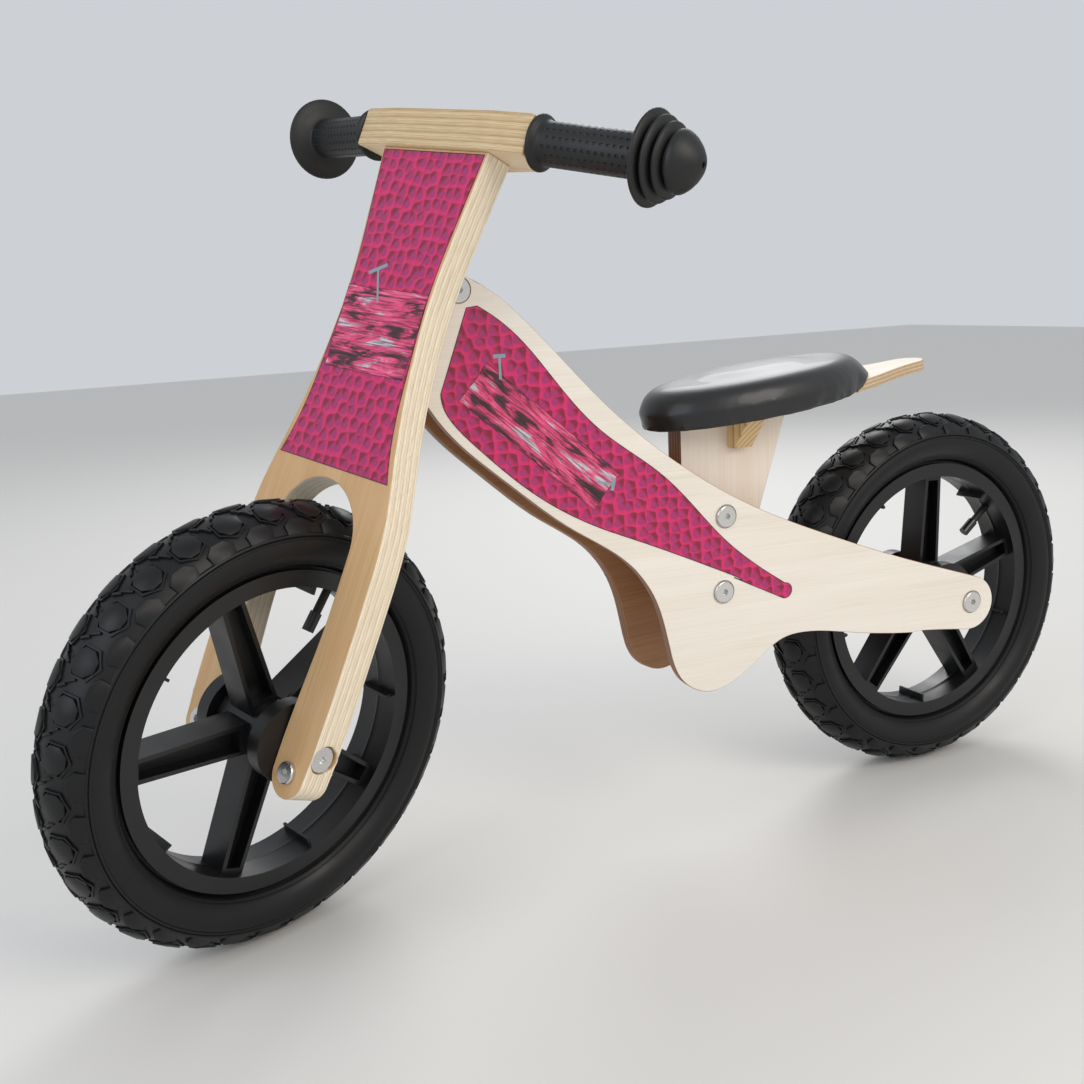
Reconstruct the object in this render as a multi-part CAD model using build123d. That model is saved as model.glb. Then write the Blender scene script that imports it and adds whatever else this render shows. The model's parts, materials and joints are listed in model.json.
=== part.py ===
"""Wooden balance bike with pneumatic wheels, drawn with its handlebar turned part way to the left.

The frame is drawn with the rear axle over x = 0, +X forward, +Y to the rider's left and +Z up.
The steering group is drawn upright about its own wheel centre, then turned and leaned into place.
"""
from build123d import *
from math import atan, cos, degrees, radians, sin, tan
import os

# wheels
tyre_radius = 156.0
tyre_width = 56.0
tyre_wall = 4.0
tread_depth = 6.5
belly_radius = 132.0
tube_low = 111.5
tube_wall = 1.5
bead_radius = 108.0
bead_half_width = 14.0
rim_outer_radius = 113.0
rim_inner_radius = 101.5
rim_half_width = 18.0
rim_flange = 3.5
rim_web = 3.0
hub_radius = 21.0
hub_half_width = 24.0
spoke_count = 5
spoke_root_width = 22.0
spoke_tip_width = 17.0
spoke_half_depth = 12.0
spoke_wall = 3.0
spoke_web = 3.0
rib_depth = 6.0
rib_thickness = 2.0
valve_angle = -49.0
valve_radius = 3.0
valve_length = 30.0
cap_radius = 4.2
cap_length = 12.0
bearing_radius = 11.0
bearing_width = 7.0
axle_radius = 4.0

# frame layout
wheelbase = 597.0
rake = 23.4
steer_at_rest = 20.5
front_wheel_turn = -51.5
rear_wheel_turn = -93.0
axis_setback = 24.0
panel_thickness = 9.0
rear_half_gap = 54.5
head_half_gap = 12.8
head_bolt_back = 10.0
head_reach = 123.0
head_top_rise = 293.5
head_foot_rise = 218.5
head_bolt_rise = 280.0
head_dowel_back = 34.0
dowel_radius = 4.0
rear_end_radius = 23.0
upper_post_bolt = (18.0, 257.0)
lower_post_bolt = (15.0, 198.0)

# fork
fork_thickness = 22.0
fork_rise = 230.0
leg_outer = 71.0
leg_inner = 39.0
leg_drop = 32.0
leg_toe_in = 3.0
arch_gap = 16.0
leg_bolt_drop = 15.0

# handlebar
bar_thickness = 27.0
bar_front = 14.0
bar_back = 24.0
bar_straight = 46.0
bar_half_length = 79.0
bar_end_depth = 29.0
bar_sweep = 10.0
bar_end_middle = -3.0
bar_bolt_side = 28.0
bar_recess = 1.0
rod_radius = 10.0
rod_in_bar = 32.0
grip_length = 118.0
grip_radius = 14.0
grip_flange_radius = 18.0
grip_flange = 4.0
bumper_radius = 29.0
bumper_length = 34.0
bumper_step = 7.0
bumper_shrink = 3.6
rod_in_grip = 100.0

# steering hinge
pin_radius = 4.0
pin_head_radius = 8.0
pin_head = 5.0
ear_thickness = 4.0
bracket_width = 18.0
bracket_leg = 38.0
head_low = 252.0
head_high = 324.0
head_depth = 46.0
bush_radius = 6.0
bush_depth = 10.0
bush_flange_radius = 9.0
bush_flange = 1.5

# seat
post_thickness = 18.0
post_front = 254.0
post_top_width = 104.0
post_foot_width = 50.0
post_foot = 180.0
seat_reference = 200.0
seat_gap = 18.0
seat_tilt = 6.0
board_thickness = 9.0
board_half_width = 42.0
board_front = 262.0
tail_end = 2.0
tail_half_width = 16.0
cushion_front = 285.0
cushion_back = 68.0
cushion_half_width = 63.0
cushion_height = 25.0
gusset_front = 210.0
gusset_thickness = 17.0
gusset_drop = 25.0
gusset_top_width = 31.0
gusset_foot_width = 9.0
packer_front = 250.0
packer_back = 212.0
packer_low = 186.0
packer_high = 258.0

# fasteners and clearances
bolt_radius = 3.0
bolt_head_radius = 8.5
bolt_head = 3.2
socket_width = 5.0
socket_depth = 2.4
axle_head_radius = 9.0
washer = 1.2
nut_radius = 7.5
nut_height = 6.0
screw_radius = 2.0
screw_head_radius = 4.0
screw_length = 26.0
spot_margin = 0.8
spot_depth = 0.3
disc_radius = 28.0
disc_thickness = 12.0
neck_radius = 13.0
film = 0.3
hole_clearance = 0.1
running_clearance = 0.06
side_clearance = 0.4
soft_clearance = 0.3

axis_foot = wheelbase - axis_setback / cos(radians(rake))
splay = (rear_half_gap - head_half_gap) / (axis_foot - head_reach)
arch_height = tyre_radius + arch_gap
fork_height = arch_height + fork_rise
seat_height = 2 * tyre_radius + seat_gap
head_bolt_height = tyre_radius + head_bolt_rise


def inner_face(x):
    """Distance from the centre plane to a panel's inner face at x."""
    return rear_half_gap - splay * x


def outer_face(x):
    """Distance from the centre plane to a panel's outer face at x."""
    return inner_face(x) + panel_thickness / cos(atan(splay))


def axis_x(height):
    """Where the steering axis passes at a height above the ground."""
    return axis_foot - tan(radians(rake)) * (height - tyre_radius)


def rod_along_y(radius, start, end, x=0, z=0):
    """A cylinder along Y from start to end."""
    return Pos(x, (start + end) / 2, z) * Rot(X=90) * Cylinder(radius, abs(end - start))


def rod_along_x(radius, start, end, y=0, z=0):
    """A cylinder along X from start to end."""
    return Pos((start + end) / 2, y, z) * Rot(Y=90) * Cylinder(radius, abs(end - start))


def rod_along_z(radius, start, end, x=0, y=0):
    """A cylinder along Z from start to end."""
    return Pos(x, y, (start + end) / 2) * Cylinder(radius, abs(end - start))


def ring_about_y(points):
    """A closed profile of (radius, y) points turned about the Y axis."""
    face = make_face(Polyline([(r, y) for r, y in points], close=True))
    return revolve(face, Axis.Y)


def steered(shape):
    """Turn and lean a steering piece, drawn about its own wheel centre, into the bike."""
    turned = Pos(-axis_setback, 0, 0) * Rot(Z=steer_at_rest) * Pos(axis_setback, 0, 0)
    return Pos(wheelbase, 0, tyre_radius) * Rot(Y=-rake) * turned * shape


def on_rear_axle(shape):
    """Move a wheel piece to the rear axle."""
    return Pos(0, 0, tyre_radius) * shape


def mirrored(shape):
    """The right-hand copy of a left-hand piece."""
    return shape.solids()[0].mirror(Plane.XZ)


def flanged_head(radius, height, socket, depth):
    """A round bolt head standing on z = 0, with a softened rim and a hexagon socket."""
    head = Cylinder(radius, height, align=(Align.CENTER, Align.CENTER, Align.MIN))
    head = fillet(head.edges().sort_by(Axis.Z)[-1], height * 0.35)
    recess = extrude(RegularPolygon(socket / 2, 6, major_radius=False), depth)
    return head - Pos(0, 0, height - depth) * recess


def bolt_along_y(shank_radius, head_radius, seat, end, x=0, z=0):
    """A bolt whose head bears at y = seat on the left and whose shank runs to y = end."""
    head = Pos(x, seat, z) * Rot(X=-90) * flanged_head(head_radius, bolt_head, socket_width, socket_depth)
    return head + rod_along_y(shank_radius, end, seat + 0.5, x, z)


# ---------------------------------------------------------------- wheels
def tyre():
    """Hollow tyre: two beads in the rim, round side walls and a broad crown."""
    half, bead = tyre_width / 2, bead_half_width
    shoulder = (tyre_radius - 7, half * 0.74)
    inner_shoulder = (tyre_radius - tread_depth - 5, half * 0.6)
    with BuildSketch() as section:
        with BuildLine():
            for side in (-1, 1):
                Polyline((bead_radius, side * (bead - tyre_wall)), (bead_radius, side * bead),
                         (rim_outer_radius + 1, side * bead))
                ThreePointArc((rim_outer_radius + 1, side * bead), (belly_radius, side * half),
                              (shoulder[0], side * shoulder[1]))
                Line((bead_radius, side * (bead - tyre_wall)), (rim_outer_radius, side * (bead - tyre_wall)))
                ThreePointArc((rim_outer_radius, side * (bead - tyre_wall)),
                              (belly_radius, side * (half - tyre_wall)),
                              (inner_shoulder[0], side * inner_shoulder[1]))
            ThreePointArc(shoulder, (tyre_radius, 0), (shoulder[0], -shoulder[1]))
            ThreePointArc(inner_shoulder, (tyre_radius - tread_depth, 0),
                          (inner_shoulder[0], -inner_shoulder[1]))
        make_face()
    return revolve(section.sketch, Axis.Y)


def inner_tube():
    """Air tube that lies inside the tyre with a little room all round."""
    high = tyre_radius - tread_depth - soft_clearance
    across = tyre_width / 2 - tyre_wall * 2
    reach = (high - tube_low) / 2
    with BuildSketch() as section:
        with Locations((tube_low + reach, 0)):
            Ellipse(reach, across)
            Ellipse(reach - tube_wall, across - tube_wall, mode=Mode.SUBTRACT)
    return revolve(section.sketch, Axis.Y)


def spoke():
    """One tapered channel spoke along +X, open on both sides of a thin web."""
    start = hub_radius - 2
    end = rim_inner_radius + 1
    root, tip = spoke_root_width / 2, spoke_tip_width / 2
    outline = make_face(Polyline([(start, -root), (end, -tip), (end, tip), (start, root)], close=True))
    body = Rot(X=90) * extrude(outline, spoke_half_depth, both=True)
    inside = [(start + 6, spoke_wall - root), (end - 5, spoke_wall - tip),
              (end - 5, tip - spoke_wall), (start + 6, root - spoke_wall)]
    pocket = extrude(make_face(Polyline(inside, close=True)), spoke_half_depth)
    upper = Rot(X=90) * Pos(0, 0, spoke_web / 2) * pocket
    return body - upper - mirrored(upper)


def rim():
    """Moulded rim: barrel, two side bands, ribs, five channel spokes and the hub."""
    edge, band = rim_half_width, rim_half_width - rim_flange
    barrel = [(rim_inner_radius, -edge), (rim_outer_radius, -edge), (rim_outer_radius, -band),
              (bead_radius - hole_clearance, -band), (bead_radius - hole_clearance, band),
              (rim_outer_radius, band), (rim_outer_radius, edge), (rim_inner_radius, edge),
              (rim_inner_radius, rim_web), (rim_inner_radius - 1, 0), (rim_inner_radius, -rim_web)]
    body = ring_about_y(barrel)
    body += rod_along_y(hub_radius, -hub_half_width, hub_half_width)
    for number in range(spoke_count):
        body += Rot(Y=360 / spoke_count * number) * spoke()
    rib = Pos(rim_inner_radius - rib_depth / 2 + 0.5, 0, 0) * Box(rib_depth + 1, edge * 1.6, rib_thickness)
    for number in range(spoke_count):
        body += Rot(Y=360 / spoke_count * (number + 0.5)) * rib
    body -= rod_along_y(axle_radius + 2, -hub_half_width - 1, hub_half_width + 1)
    for side in (-1, 1):
        pocket_end = side * (hub_half_width + 1)
        body -= rod_along_y(bearing_radius, side * (hub_half_width - bearing_width), pocket_end)
    body -= valve_hole()
    return body


def valve_hole():
    """The clearance hole for the valve through the rim barrel."""
    hole = rod_along_x(valve_radius + hole_clearance, rim_inner_radius - rib_depth - 3, rim_outer_radius)
    return Rot(Y=valve_angle) * hole


def valve_stem():
    """Rubber valve stem pointing from the tube in towards the hub."""
    root = tube_low - soft_clearance
    stem = rod_along_x(valve_radius, rim_inner_radius - valve_length, root)
    foot = rod_along_x(valve_radius + 3, bead_radius + 0.5, root)
    return Rot(Y=valve_angle) * (stem + foot)


def valve_cap():
    """Screwed plastic cap over the end of the valve."""
    end = rim_inner_radius - valve_length
    shell = rod_along_x(cap_radius, end - 2, end + cap_length)
    bore = rod_along_x(valve_radius + hole_clearance / 2, end, end + cap_length + 1)
    return Rot(Y=valve_angle) * (shell - bore)


def bearing(side):
    """Sealed bearing pressed into one end of the hub."""
    outer_end = side * hub_half_width
    inner_end = side * (hub_half_width - bearing_width)
    ring = rod_along_y(bearing_radius, inner_end, outer_end)
    return ring - rod_along_y(axle_radius + running_clearance, inner_end - side, outer_end + side)


def wheel(prefix, place, turn):
    """All the pieces that turn with one wheel, with the wheel stopped at a given turn."""
    pieces = {
        "rim": rim(),
        "tyre": tyre(),
        "inner_tube": inner_tube(),
        "valve_stem": valve_stem(),
        "valve_cap": valve_cap(),
        "left_bearing": bearing(1),
        "right_bearing": bearing(-1),
    }
    return {f"{prefix}_{name}": place(Rot(Y=turn) * shape) for name, shape in pieces.items()}


# ---------------------------------------------------------------- frame
def panel_outline():
    """Side view of a panel: x along the panel from the rear axle, height above the ground."""
    centre = tyre_radius - 1
    top = tyre_radius + head_top_rise
    foot = tyre_radius + head_foot_rise
    head_top = (axis_x(top), top)
    head_foot = (axis_x(foot), foot)
    rear_top = (-rear_end_radius * sin(radians(18)), centre + rear_end_radius * cos(radians(18)))
    rear_foot = (rear_end_radius * sin(radians(8)), centre - rear_end_radius * cos(radians(8)))
    with BuildSketch() as outline:
        with BuildLine():
            ThreePointArc(rear_foot, (-rear_end_radius, centre), rear_top)
            Spline(rear_top, (67, 202), (149, 234), (211, 262), (273, 300), (337, 354),
                   (395, 416), (423, 439), head_top, tangents=((3, 1), (2, 1)))
            Line(head_top, head_foot)
            Spline(head_foot, (458, 346), (412, 301), (364, 262), (320, 231), (298, 200), (287, 160),
                   (277, 133), (254, 119.5), (228, 126), (205, 141), (187, 152), (165, 154.5),
                   (115, 146), (60, 138), rear_foot, tangents=((-0.55, -0.85), (-7, -1)))
        make_face()
        fillet(outline.vertices().sort_by(Axis.X)[-2:], 7)
    return outline.sketch


def splayed(outline, distance, thickness):
    """Thicken a side view outward, at a distance from a panel's inner face."""
    upright = Rot(X=90) * extrude(outline, -thickness)
    return Pos(0, rear_half_gap, 0) * Rot(Z=-degrees(atan(splay))) * Pos(0, distance, 0) * upright


def left_panel():
    """Left plywood panel with its bolt holes and the flats cut for heads and spacers."""
    panel = splayed(panel_outline(), 0, panel_thickness)
    cuts = [(0, tyre_radius, axle_radius, axle_head_radius, neck_radius)]
    for x, z in post_bolt_places():
        cuts.append((x, z, bolt_radius, bolt_head_radius, 0))
    for x, z in head_bolt_places():
        cuts.append((x, z, bolt_radius, bolt_head_radius, 0))
    for x, z, shank, head, neck in cuts:
        panel -= rod_along_y(shank + hole_clearance, 0, 2 * rear_half_gap, x, z)
        panel -= rod_along_y(head + spot_margin, head_seat(x, head), 2 * rear_half_gap, x, z)
        if neck:
            panel -= rod_along_y(neck + spot_margin, 0, neck_seat(neck), x, z)
    for x, z in head_dowel_places():
        panel -= rod_along_y(dowel_radius + hole_clearance, 0, head_dowel_end(x) + 0.5, x, z)
    return panel


def head_seat(x, radius):
    """Height of the flat under a bolt head, just below the lowest point of the face under it."""
    return outer_face(x + radius + spot_margin) - spot_depth


def neck_seat(radius):
    """Where a rear spacer bears on the panel, just beyond the farthest point of the face."""
    return inner_face(-radius - spot_margin) + spot_depth


def post_bolt_places():
    """Centres of the two bolts through the seat post."""
    return [(post_front - back, height) for back, height in (upper_post_bolt, lower_post_bolt)]


def head_bolt_places():
    """Centre of the bolt through the head block, just behind the steering axis."""
    return [(axis_x(head_bolt_height) - head_bolt_back / cos(radians(rake)), head_bolt_height)]


def head_dowel_places():
    """Centres of the dowels that locate the head block between the panels."""
    return [(axis_x(z) - head_dowel_back, z) for z in (head_bolt_height - 12, head_bolt_height - 46)]


def head_dowel_end(x):
    """How far out from the middle a head dowel reaches into a panel."""
    return inner_face(x) + panel_thickness * 0.6


def between_panels(depth_back, x_front):
    """The wedge of room between the two panels from the head back to a given x."""
    points = [(depth_back, inner_face(depth_back)), (x_front, inner_face(x_front)),
              (x_front, -inner_face(x_front)), (depth_back, -inner_face(depth_back))]
    return extrude(make_face(Polyline(points, close=True)), 3 * tyre_radius)


def upright_steering(shape):
    """Lean a piece of the frame's head along the steering axis without turning it."""
    return Pos(wheelbase, 0, tyre_radius) * Rot(Y=-rake) * Pos(-axis_setback, 0, 0) * shape


def head_block():
    """Hardwood block between the panels, round-nosed about the steering pin."""
    height = head_high - head_low
    nose = rod_along_z(head_half_gap - 1.8, head_low, head_high)
    body = Pos(-head_depth / 2, 0, head_low + height / 2) * Box(head_depth, 6 * head_half_gap, height)
    block = upright_steering(nose + body)
    block = block & between_panels(axis_foot - 300, axis_foot)
    block -= upright_steering(rod_along_z(pin_radius + 0.5, head_low - 1, head_high + 1))
    for start, end in ((head_low - 1, head_low + bush_depth), (head_high - bush_depth, head_high + 1)):
        block -= upright_steering(rod_along_z(bush_radius, start, end))
    for x, z in head_bolt_places():
        block -= rod_along_y(bolt_radius + hole_clearance, -rear_half_gap, rear_half_gap, x, z)
    for x, z in head_dowel_places():
        block -= rod_along_y(dowel_radius + hole_clearance, -rear_half_gap, rear_half_gap, x, z)
    return block


def head_dowels():
    """Wooden dowels through the head block, blind in both panels."""
    return Compound([rod_along_y(dowel_radius, -head_dowel_end(x), head_dowel_end(x), x, z)
                     for x, z in head_dowel_places()])


def bush(end, direction):
    """Flanged nylon bush at one end of the head block's bore."""
    sleeve = rod_along_z(bush_radius, end - direction * bush_depth, end)
    flange = rod_along_z(bush_flange_radius, end, end + direction * bush_flange)
    bore_start, bore_end = sorted((end - direction * (bush_depth + 1), end + direction * (bush_flange + 1)))
    bore = rod_along_z(pin_radius + running_clearance, bore_start, bore_end)
    return upright_steering(sleeve + flange - bore)


def seat_line(x):
    """Height of the seat board's underside at x."""
    return seat_height + tan(radians(seat_tilt)) * (seat_reference - x)


def seat_post():
    """Upright plywood post between the panels, wide at the seat and narrow at its foot."""
    back_top = post_front - post_top_width
    points = [(post_front, post_foot), (post_front, seat_line(post_front)),
              (back_top, seat_line(back_top)), (post_front - post_foot_width, post_foot)]
    outline = make_face(Polyline(points, close=True))
    post = Rot(X=90) * extrude(outline, post_thickness / 2, both=True)
    for x, z in post_bolt_places():
        post -= rod_along_y(bolt_radius + hole_clearance, -post_thickness, post_thickness, x, z)
    for x in seat_screw_places():
        post -= seat_screw_hole(x)
    return post


def left_post_packer():
    """Tapered packing piece between the post and the left panel."""
    points = [(packer_back, post_thickness / 2), (packer_front, post_thickness / 2),
              (packer_front, inner_face(packer_front)), (packer_back, inner_face(packer_back))]
    packer = extrude(make_face(Polyline(points, close=True)), packer_high - packer_low)
    packer = Pos(0, 0, packer_low) * packer
    for x, z in post_bolt_places():
        packer -= rod_along_y(bolt_radius + hole_clearance, 0, rear_half_gap, x, z)
    return packer


def left_seat_gusset():
    """Pine wedge in the corner between the post and the seat board."""
    root = post_thickness / 2
    drop = seat_line(gusset_front) - gusset_drop
    high = seat_line(gusset_front - gusset_thickness) + 1
    points = [(root, drop), (root + gusset_foot_width, drop), (root + gusset_top_width, high), (root, high)]
    wedge = make_face(Polyline(points, close=True))
    wedge = Pos(gusset_front, 0, 0) * Rot(Z=90) * Rot(X=90) * extrude(wedge, -gusset_thickness)
    return wedge - seat_level(Pos(0, 0, 50) * Box(600, 200, 100))


def seat_level(shape):
    """Tilt a seat piece drawn on the seat board's underside into place."""
    return Pos(seat_reference, 0, seat_height) * Rot(Y=seat_tilt) * Pos(-seat_reference, 0, 0) * shape


def seat_board_outline():
    """Plan of the seat board, drawn from above."""
    side = [(board_front - 30, board_half_width), (cushion_back + 70, board_half_width),
            (cushion_back + 10, tail_half_width * 2.1), (cushion_back - 30, tail_half_width * 1.25)]
    with BuildSketch() as outline:
        with BuildLine():
            ThreePointArc((board_front - 30, -board_half_width), (board_front, 0),
                          (board_front - 30, board_half_width))
            Spline(*side, (tail_end + 12, tail_half_width), tangents=((-1, 0), (-1, -0.1)))
            ThreePointArc((tail_end + 12, tail_half_width), (tail_end, 0), (tail_end + 12, -tail_half_width))
            Spline((tail_end + 12, -tail_half_width), *[(x, -y) for x, y in reversed(side)],
                   tangents=((1, -0.1), (1, 0)))
        make_face()
    return outline.sketch


def seat_board():
    """Plywood seat board with its tail behind the cushion."""
    board = seat_level(extrude(seat_board_outline(), board_thickness))
    for x in seat_screw_places():
        board -= seat_screw_hole(x)
    return board


def seat_screw_places():
    """Places along the post of the screws down through the seat board."""
    return [post_front - 14, post_front - post_top_width / 2, post_front - post_top_width + 22]


def seat_screw(x, gap):
    """A countersunk screw, or its hole when a gap is given."""
    shank = rod_along_z(screw_radius + gap, board_thickness - screw_length - gap, board_thickness - 2)
    head = Pos(0, 0, board_thickness - 1.1) * Cone(screw_radius + gap, screw_head_radius + gap, 2.2)
    return seat_level(Pos(x, 0, 0) * (shank + head))


def seat_screw_hole(x):
    """The hole for one seat screw, open at the board's top."""
    mouth = rod_along_z(screw_head_radius + hole_clearance, board_thickness - 0.1, board_thickness + 2)
    return seat_screw(x, hole_clearance) + seat_level(Pos(x, 0, 0) * mouth)


def seat_cushion():
    """Padded seat, domed above, with its cover drawn down round the seat board."""
    middle = (cushion_front + cushion_back) / 2
    half = (cushion_front - cushion_back) / 2
    height = board_thickness + cushion_height
    layers = [(0.92, 0.0), (1.0, 0.36), (0.97, 0.66), (0.76, 0.92), (0.45, 1.0)]
    faces = []
    for share, rise in layers:
        level = Plane.XY.offset(rise * height)
        faces.append(level * Pos(middle, 0) * Ellipse(half * share, cushion_half_width * share))
    room = scale(Pos(-middle, 0) * seat_board_outline(), by=1 + soft_clearance / board_half_width)
    recess = Pos(middle, 0, -1) * extrude(room, board_thickness + soft_clearance + 1)
    return seat_level(loft(faces) - recess)


def rear_spacer():
    """Left rear spacer: a broad disc by the hub and a neck out to the panel."""
    start = hub_half_width + side_clearance
    body = rod_along_y(disc_radius, start, start + disc_thickness)
    body += rod_along_y(neck_radius, start, neck_seat(neck_radius))
    return on_rear_axle(body - rod_along_y(axle_radius + hole_clearance, 0, 2 * rear_half_gap))


def rear_axle():
    """Rear axle bolt, with its head outside the left panel."""
    seat = head_seat(0, axle_head_radius)
    return bolt_along_y(axle_radius, axle_head_radius, seat, -seat - 0.5, 0, tyre_radius)


def cap_nut(radius, seat, bore, x=0, z=0, depth=0.0):
    """Round cap nut whose face bears at y = -seat on the right, with a hexagon socket."""
    head = flanged_head(radius, bolt_head, socket_width, socket_depth)
    nut = Pos(x, -seat, z) * Rot(X=90) * head
    return nut - rod_along_y(bore, -seat - depth, 0, x, z)


def panel_sticker():
    """Thin printed film on the left panel."""
    with BuildSketch() as outline:
        with BuildLine():
            Polyline((427, 425), (435, 424), (457, 367))
            Spline((457, 367), (450, 347), (430, 325), (402, 299), (372, 277), (341, 260), (309, 246),
                   (224, 206), (186, 185.5), tangents=((0, -1), (-2, -1)))
            ThreePointArc((186, 185.5), (178, 189), (184, 198))
            Spline((184, 198), (215, 220), (241, 243), (267, 272), (291, 296), (338, 332), (368, 365),
                   (396, 400), (427, 425), tangents=((3, 2), (5, 3)))
        make_face()
    return splayed(outline.sketch, panel_thickness, film)


def frame_parts():
    """All the pieces of the rigid frame and seat."""
    parts = {
        "left_side_panel": left_panel(),
        "right_side_panel": mirrored(left_panel()),
        "left_panel_sticker": panel_sticker(),
        "right_panel_sticker": mirrored(panel_sticker()),
        "head_block": head_block(),
        "head_dowels": head_dowels(),
        "upper_steering_bush": bush(head_high, 1),
        "lower_steering_bush": bush(head_low, -1),
        "seat_post": seat_post(),
        "left_post_packer": left_post_packer(),
        "right_post_packer": mirrored(left_post_packer()),
        "left_seat_gusset": left_seat_gusset(),
        "right_seat_gusset": mirrored(left_seat_gusset()),
        "seat_board": seat_board(),
        "seat_cushion": seat_cushion(),
        "seat_screws": Compound(children=[seat_screw(x, 0) for x in seat_screw_places()]),
        "left_rear_spacer": rear_spacer(),
        "right_rear_spacer": mirrored(rear_spacer()),
        "rear_axle": rear_axle(),
    }
    for name, places in (("post", post_bolt_places()), ("head", head_bolt_places())):
        bolts, nuts = [], []
        for x, z in places:
            seat = head_seat(x, bolt_head_radius)
            bolts.append(bolt_along_y(bolt_radius, bolt_head_radius, seat, -seat - 0.5, x, z))
            nuts.append(cap_nut(bolt_head_radius, seat, bolt_radius, x, z, 0.5))
        parts[name + "_bolts"] = Compound(children=bolts)
        parts[name + "_nuts"] = Compound(children=nuts)
    seat = head_seat(0, axle_head_radius)
    parts["rear_axle_nut"] = cap_nut(axle_head_radius, seat, axle_radius, 0, tyre_radius, 0.5)
    return parts


# ---------------------------------------------------------------- steering
def fork_outline():
    """Front view of the fork board: y to the left, height above the wheel centre."""
    leg_radius = leg_foot_radius()
    leg_centre = leg_bolt_side()
    arch_radius = leg_inner + 3
    arch_centre = arch_height - arch_radius
    side = [(fork_height * 0.5, 56), (arch_height - 22, 68.5), (105, leg_outer), (45, leg_outer)]
    edge = [(52, fork_height), (46.5, 355), (42.5, 305), (45, 260)]
    edge += [(width, height) for height, width in side]
    foot = leg_radius - leg_drop
    edge.append((leg_centre + leg_radius, foot))
    with BuildSketch() as outline:
        with BuildLine():
            Line((0, fork_height), edge[0])
            Spline(*edge, tangents=((-0.14, -1), (-0.1, -1)))
            ThreePointArc(edge[-1], (leg_centre, -leg_drop), (leg_centre - leg_radius, foot))
            Spline((leg_centre - leg_radius, foot), (leg_inner, 40), (arch_radius, 80),
                   (arch_radius, arch_centre), tangents=((0, 1), (0, 1)))
            ThreePointArc((arch_radius, arch_centre),
                          (arch_radius * sin(radians(45)), arch_centre + arch_radius * cos(radians(45))),
                          (0, arch_centre + arch_radius))
            Line((0, arch_centre + arch_radius), (0, fork_height))
        make_face()
    half = outline.sketch
    return half + mirror(half, about=Plane.YZ)


def facing_front(shape):
    """Stand a piece drawn in the front view up across the bike, extruded forward."""
    return Rot(Z=90) * Rot(X=90) * shape


def fork_board():
    """Thick plywood fork with its axle holes, counterbores and cross bolt holes."""
    board = Pos(-fork_thickness / 2, 0, 0) * facing_front(extrude(fork_outline(), fork_thickness))
    board -= rod_along_y(axle_radius + hole_clearance, -2 * leg_outer, 2 * leg_outer)
    for side in (-1, 1):
        board -= rod_along_y(axle_head_radius + spot_margin, side * axle_seat(), side * 2 * leg_outer)
        board -= rod_along_x(bolt_radius + hole_clearance, -fork_thickness, fork_thickness,
                             side * leg_bolt_side(), -leg_bolt_drop)
    for y, z in bracket_screw_places():
        hole = rod_along_x(screw_radius + hole_clearance, -fork_thickness, fork_screw_end(), y, z)
        board -= hole
    for side in (-1, 1):
        board -= rod_along_z(bolt_radius + hole_clearance, fork_height - 40, fork_height + 1,
                             0, side * bar_bolt_side)
    return board


def axle_seat():
    """Depth across the bike at which the front axle's washers bear in their counterbores."""
    return leg_outer - 8.0


def leg_foot_radius():
    """Radius of the rounded foot of a fork leg."""
    return (leg_outer - leg_inner) / 2


def leg_bolt_side():
    """Distance of a leg's rounded foot and cross bolt from the middle of the fork."""
    return (leg_outer + leg_inner) / 2 - leg_toe_in


def front_disc():
    """Black disc between the hub and the left fork leg."""
    start = hub_half_width + side_clearance
    end = leg_bolt_side() - leg_foot_radius() - soft_clearance
    return rod_along_y(disc_radius, start, end) - rod_along_y(axle_radius + hole_clearance, 0, 2 * leg_outer)


def front_washers():
    """The two washers in the counterbores of the fork legs."""
    washers = []
    for side in (-1, 1):
        near, far = side * axle_seat(), side * (axle_seat() + washer)
        ring = rod_along_y(axle_head_radius, near, far)
        washers.append(ring - rod_along_y(axle_radius + hole_clearance, near - side, far + side))
    return Compound(children=washers)


def leg_bolts():
    """Cross bolts through the foot of each leg, heads to the front."""
    bolts = []
    for side in (-1, 1):
        head = flanged_head(bolt_head_radius - 1, bolt_head, socket_width, socket_depth)
        head = Pos(fork_thickness / 2, 0, 0) * Rot(Y=90) * head
        shank = rod_along_x(bolt_radius, -fork_thickness / 2 - nut_height + 1, fork_thickness / 2 + 0.5)
        bolts.append(Pos(0, side * leg_bolt_side(), -leg_bolt_drop) * (head + shank))
    return Compound(children=bolts)


def leg_nuts():
    """Hexagon nuts on the backs of the cross bolts."""
    nuts = []
    for side in (-1, 1):
        nut = Rot(Y=-90) * extrude(RegularPolygon(nut_radius - 1.5, 6), nut_height - 2)
        nut = Pos(-fork_thickness / 2, side * leg_bolt_side(), -leg_bolt_drop) * nut
        bore = rod_along_x(bolt_radius, -2 * fork_thickness, 0, side * leg_bolt_side(), -leg_bolt_drop)
        nuts.append(nut - bore)
    return Compound(children=nuts)


def bracket_screw_places():
    """Places on the fork's back of the screws that hold both hinge brackets."""
    low, high = head_low - bracket_leg + 9, head_high + bracket_leg - 9
    return [(side * bracket_width * 0.27, z) for z in (low, high) for side in (-1, 1)]


def fork_screw_end():
    """How far forward the bracket screws reach inside the fork."""
    return fork_thickness / 2 - 6


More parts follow.
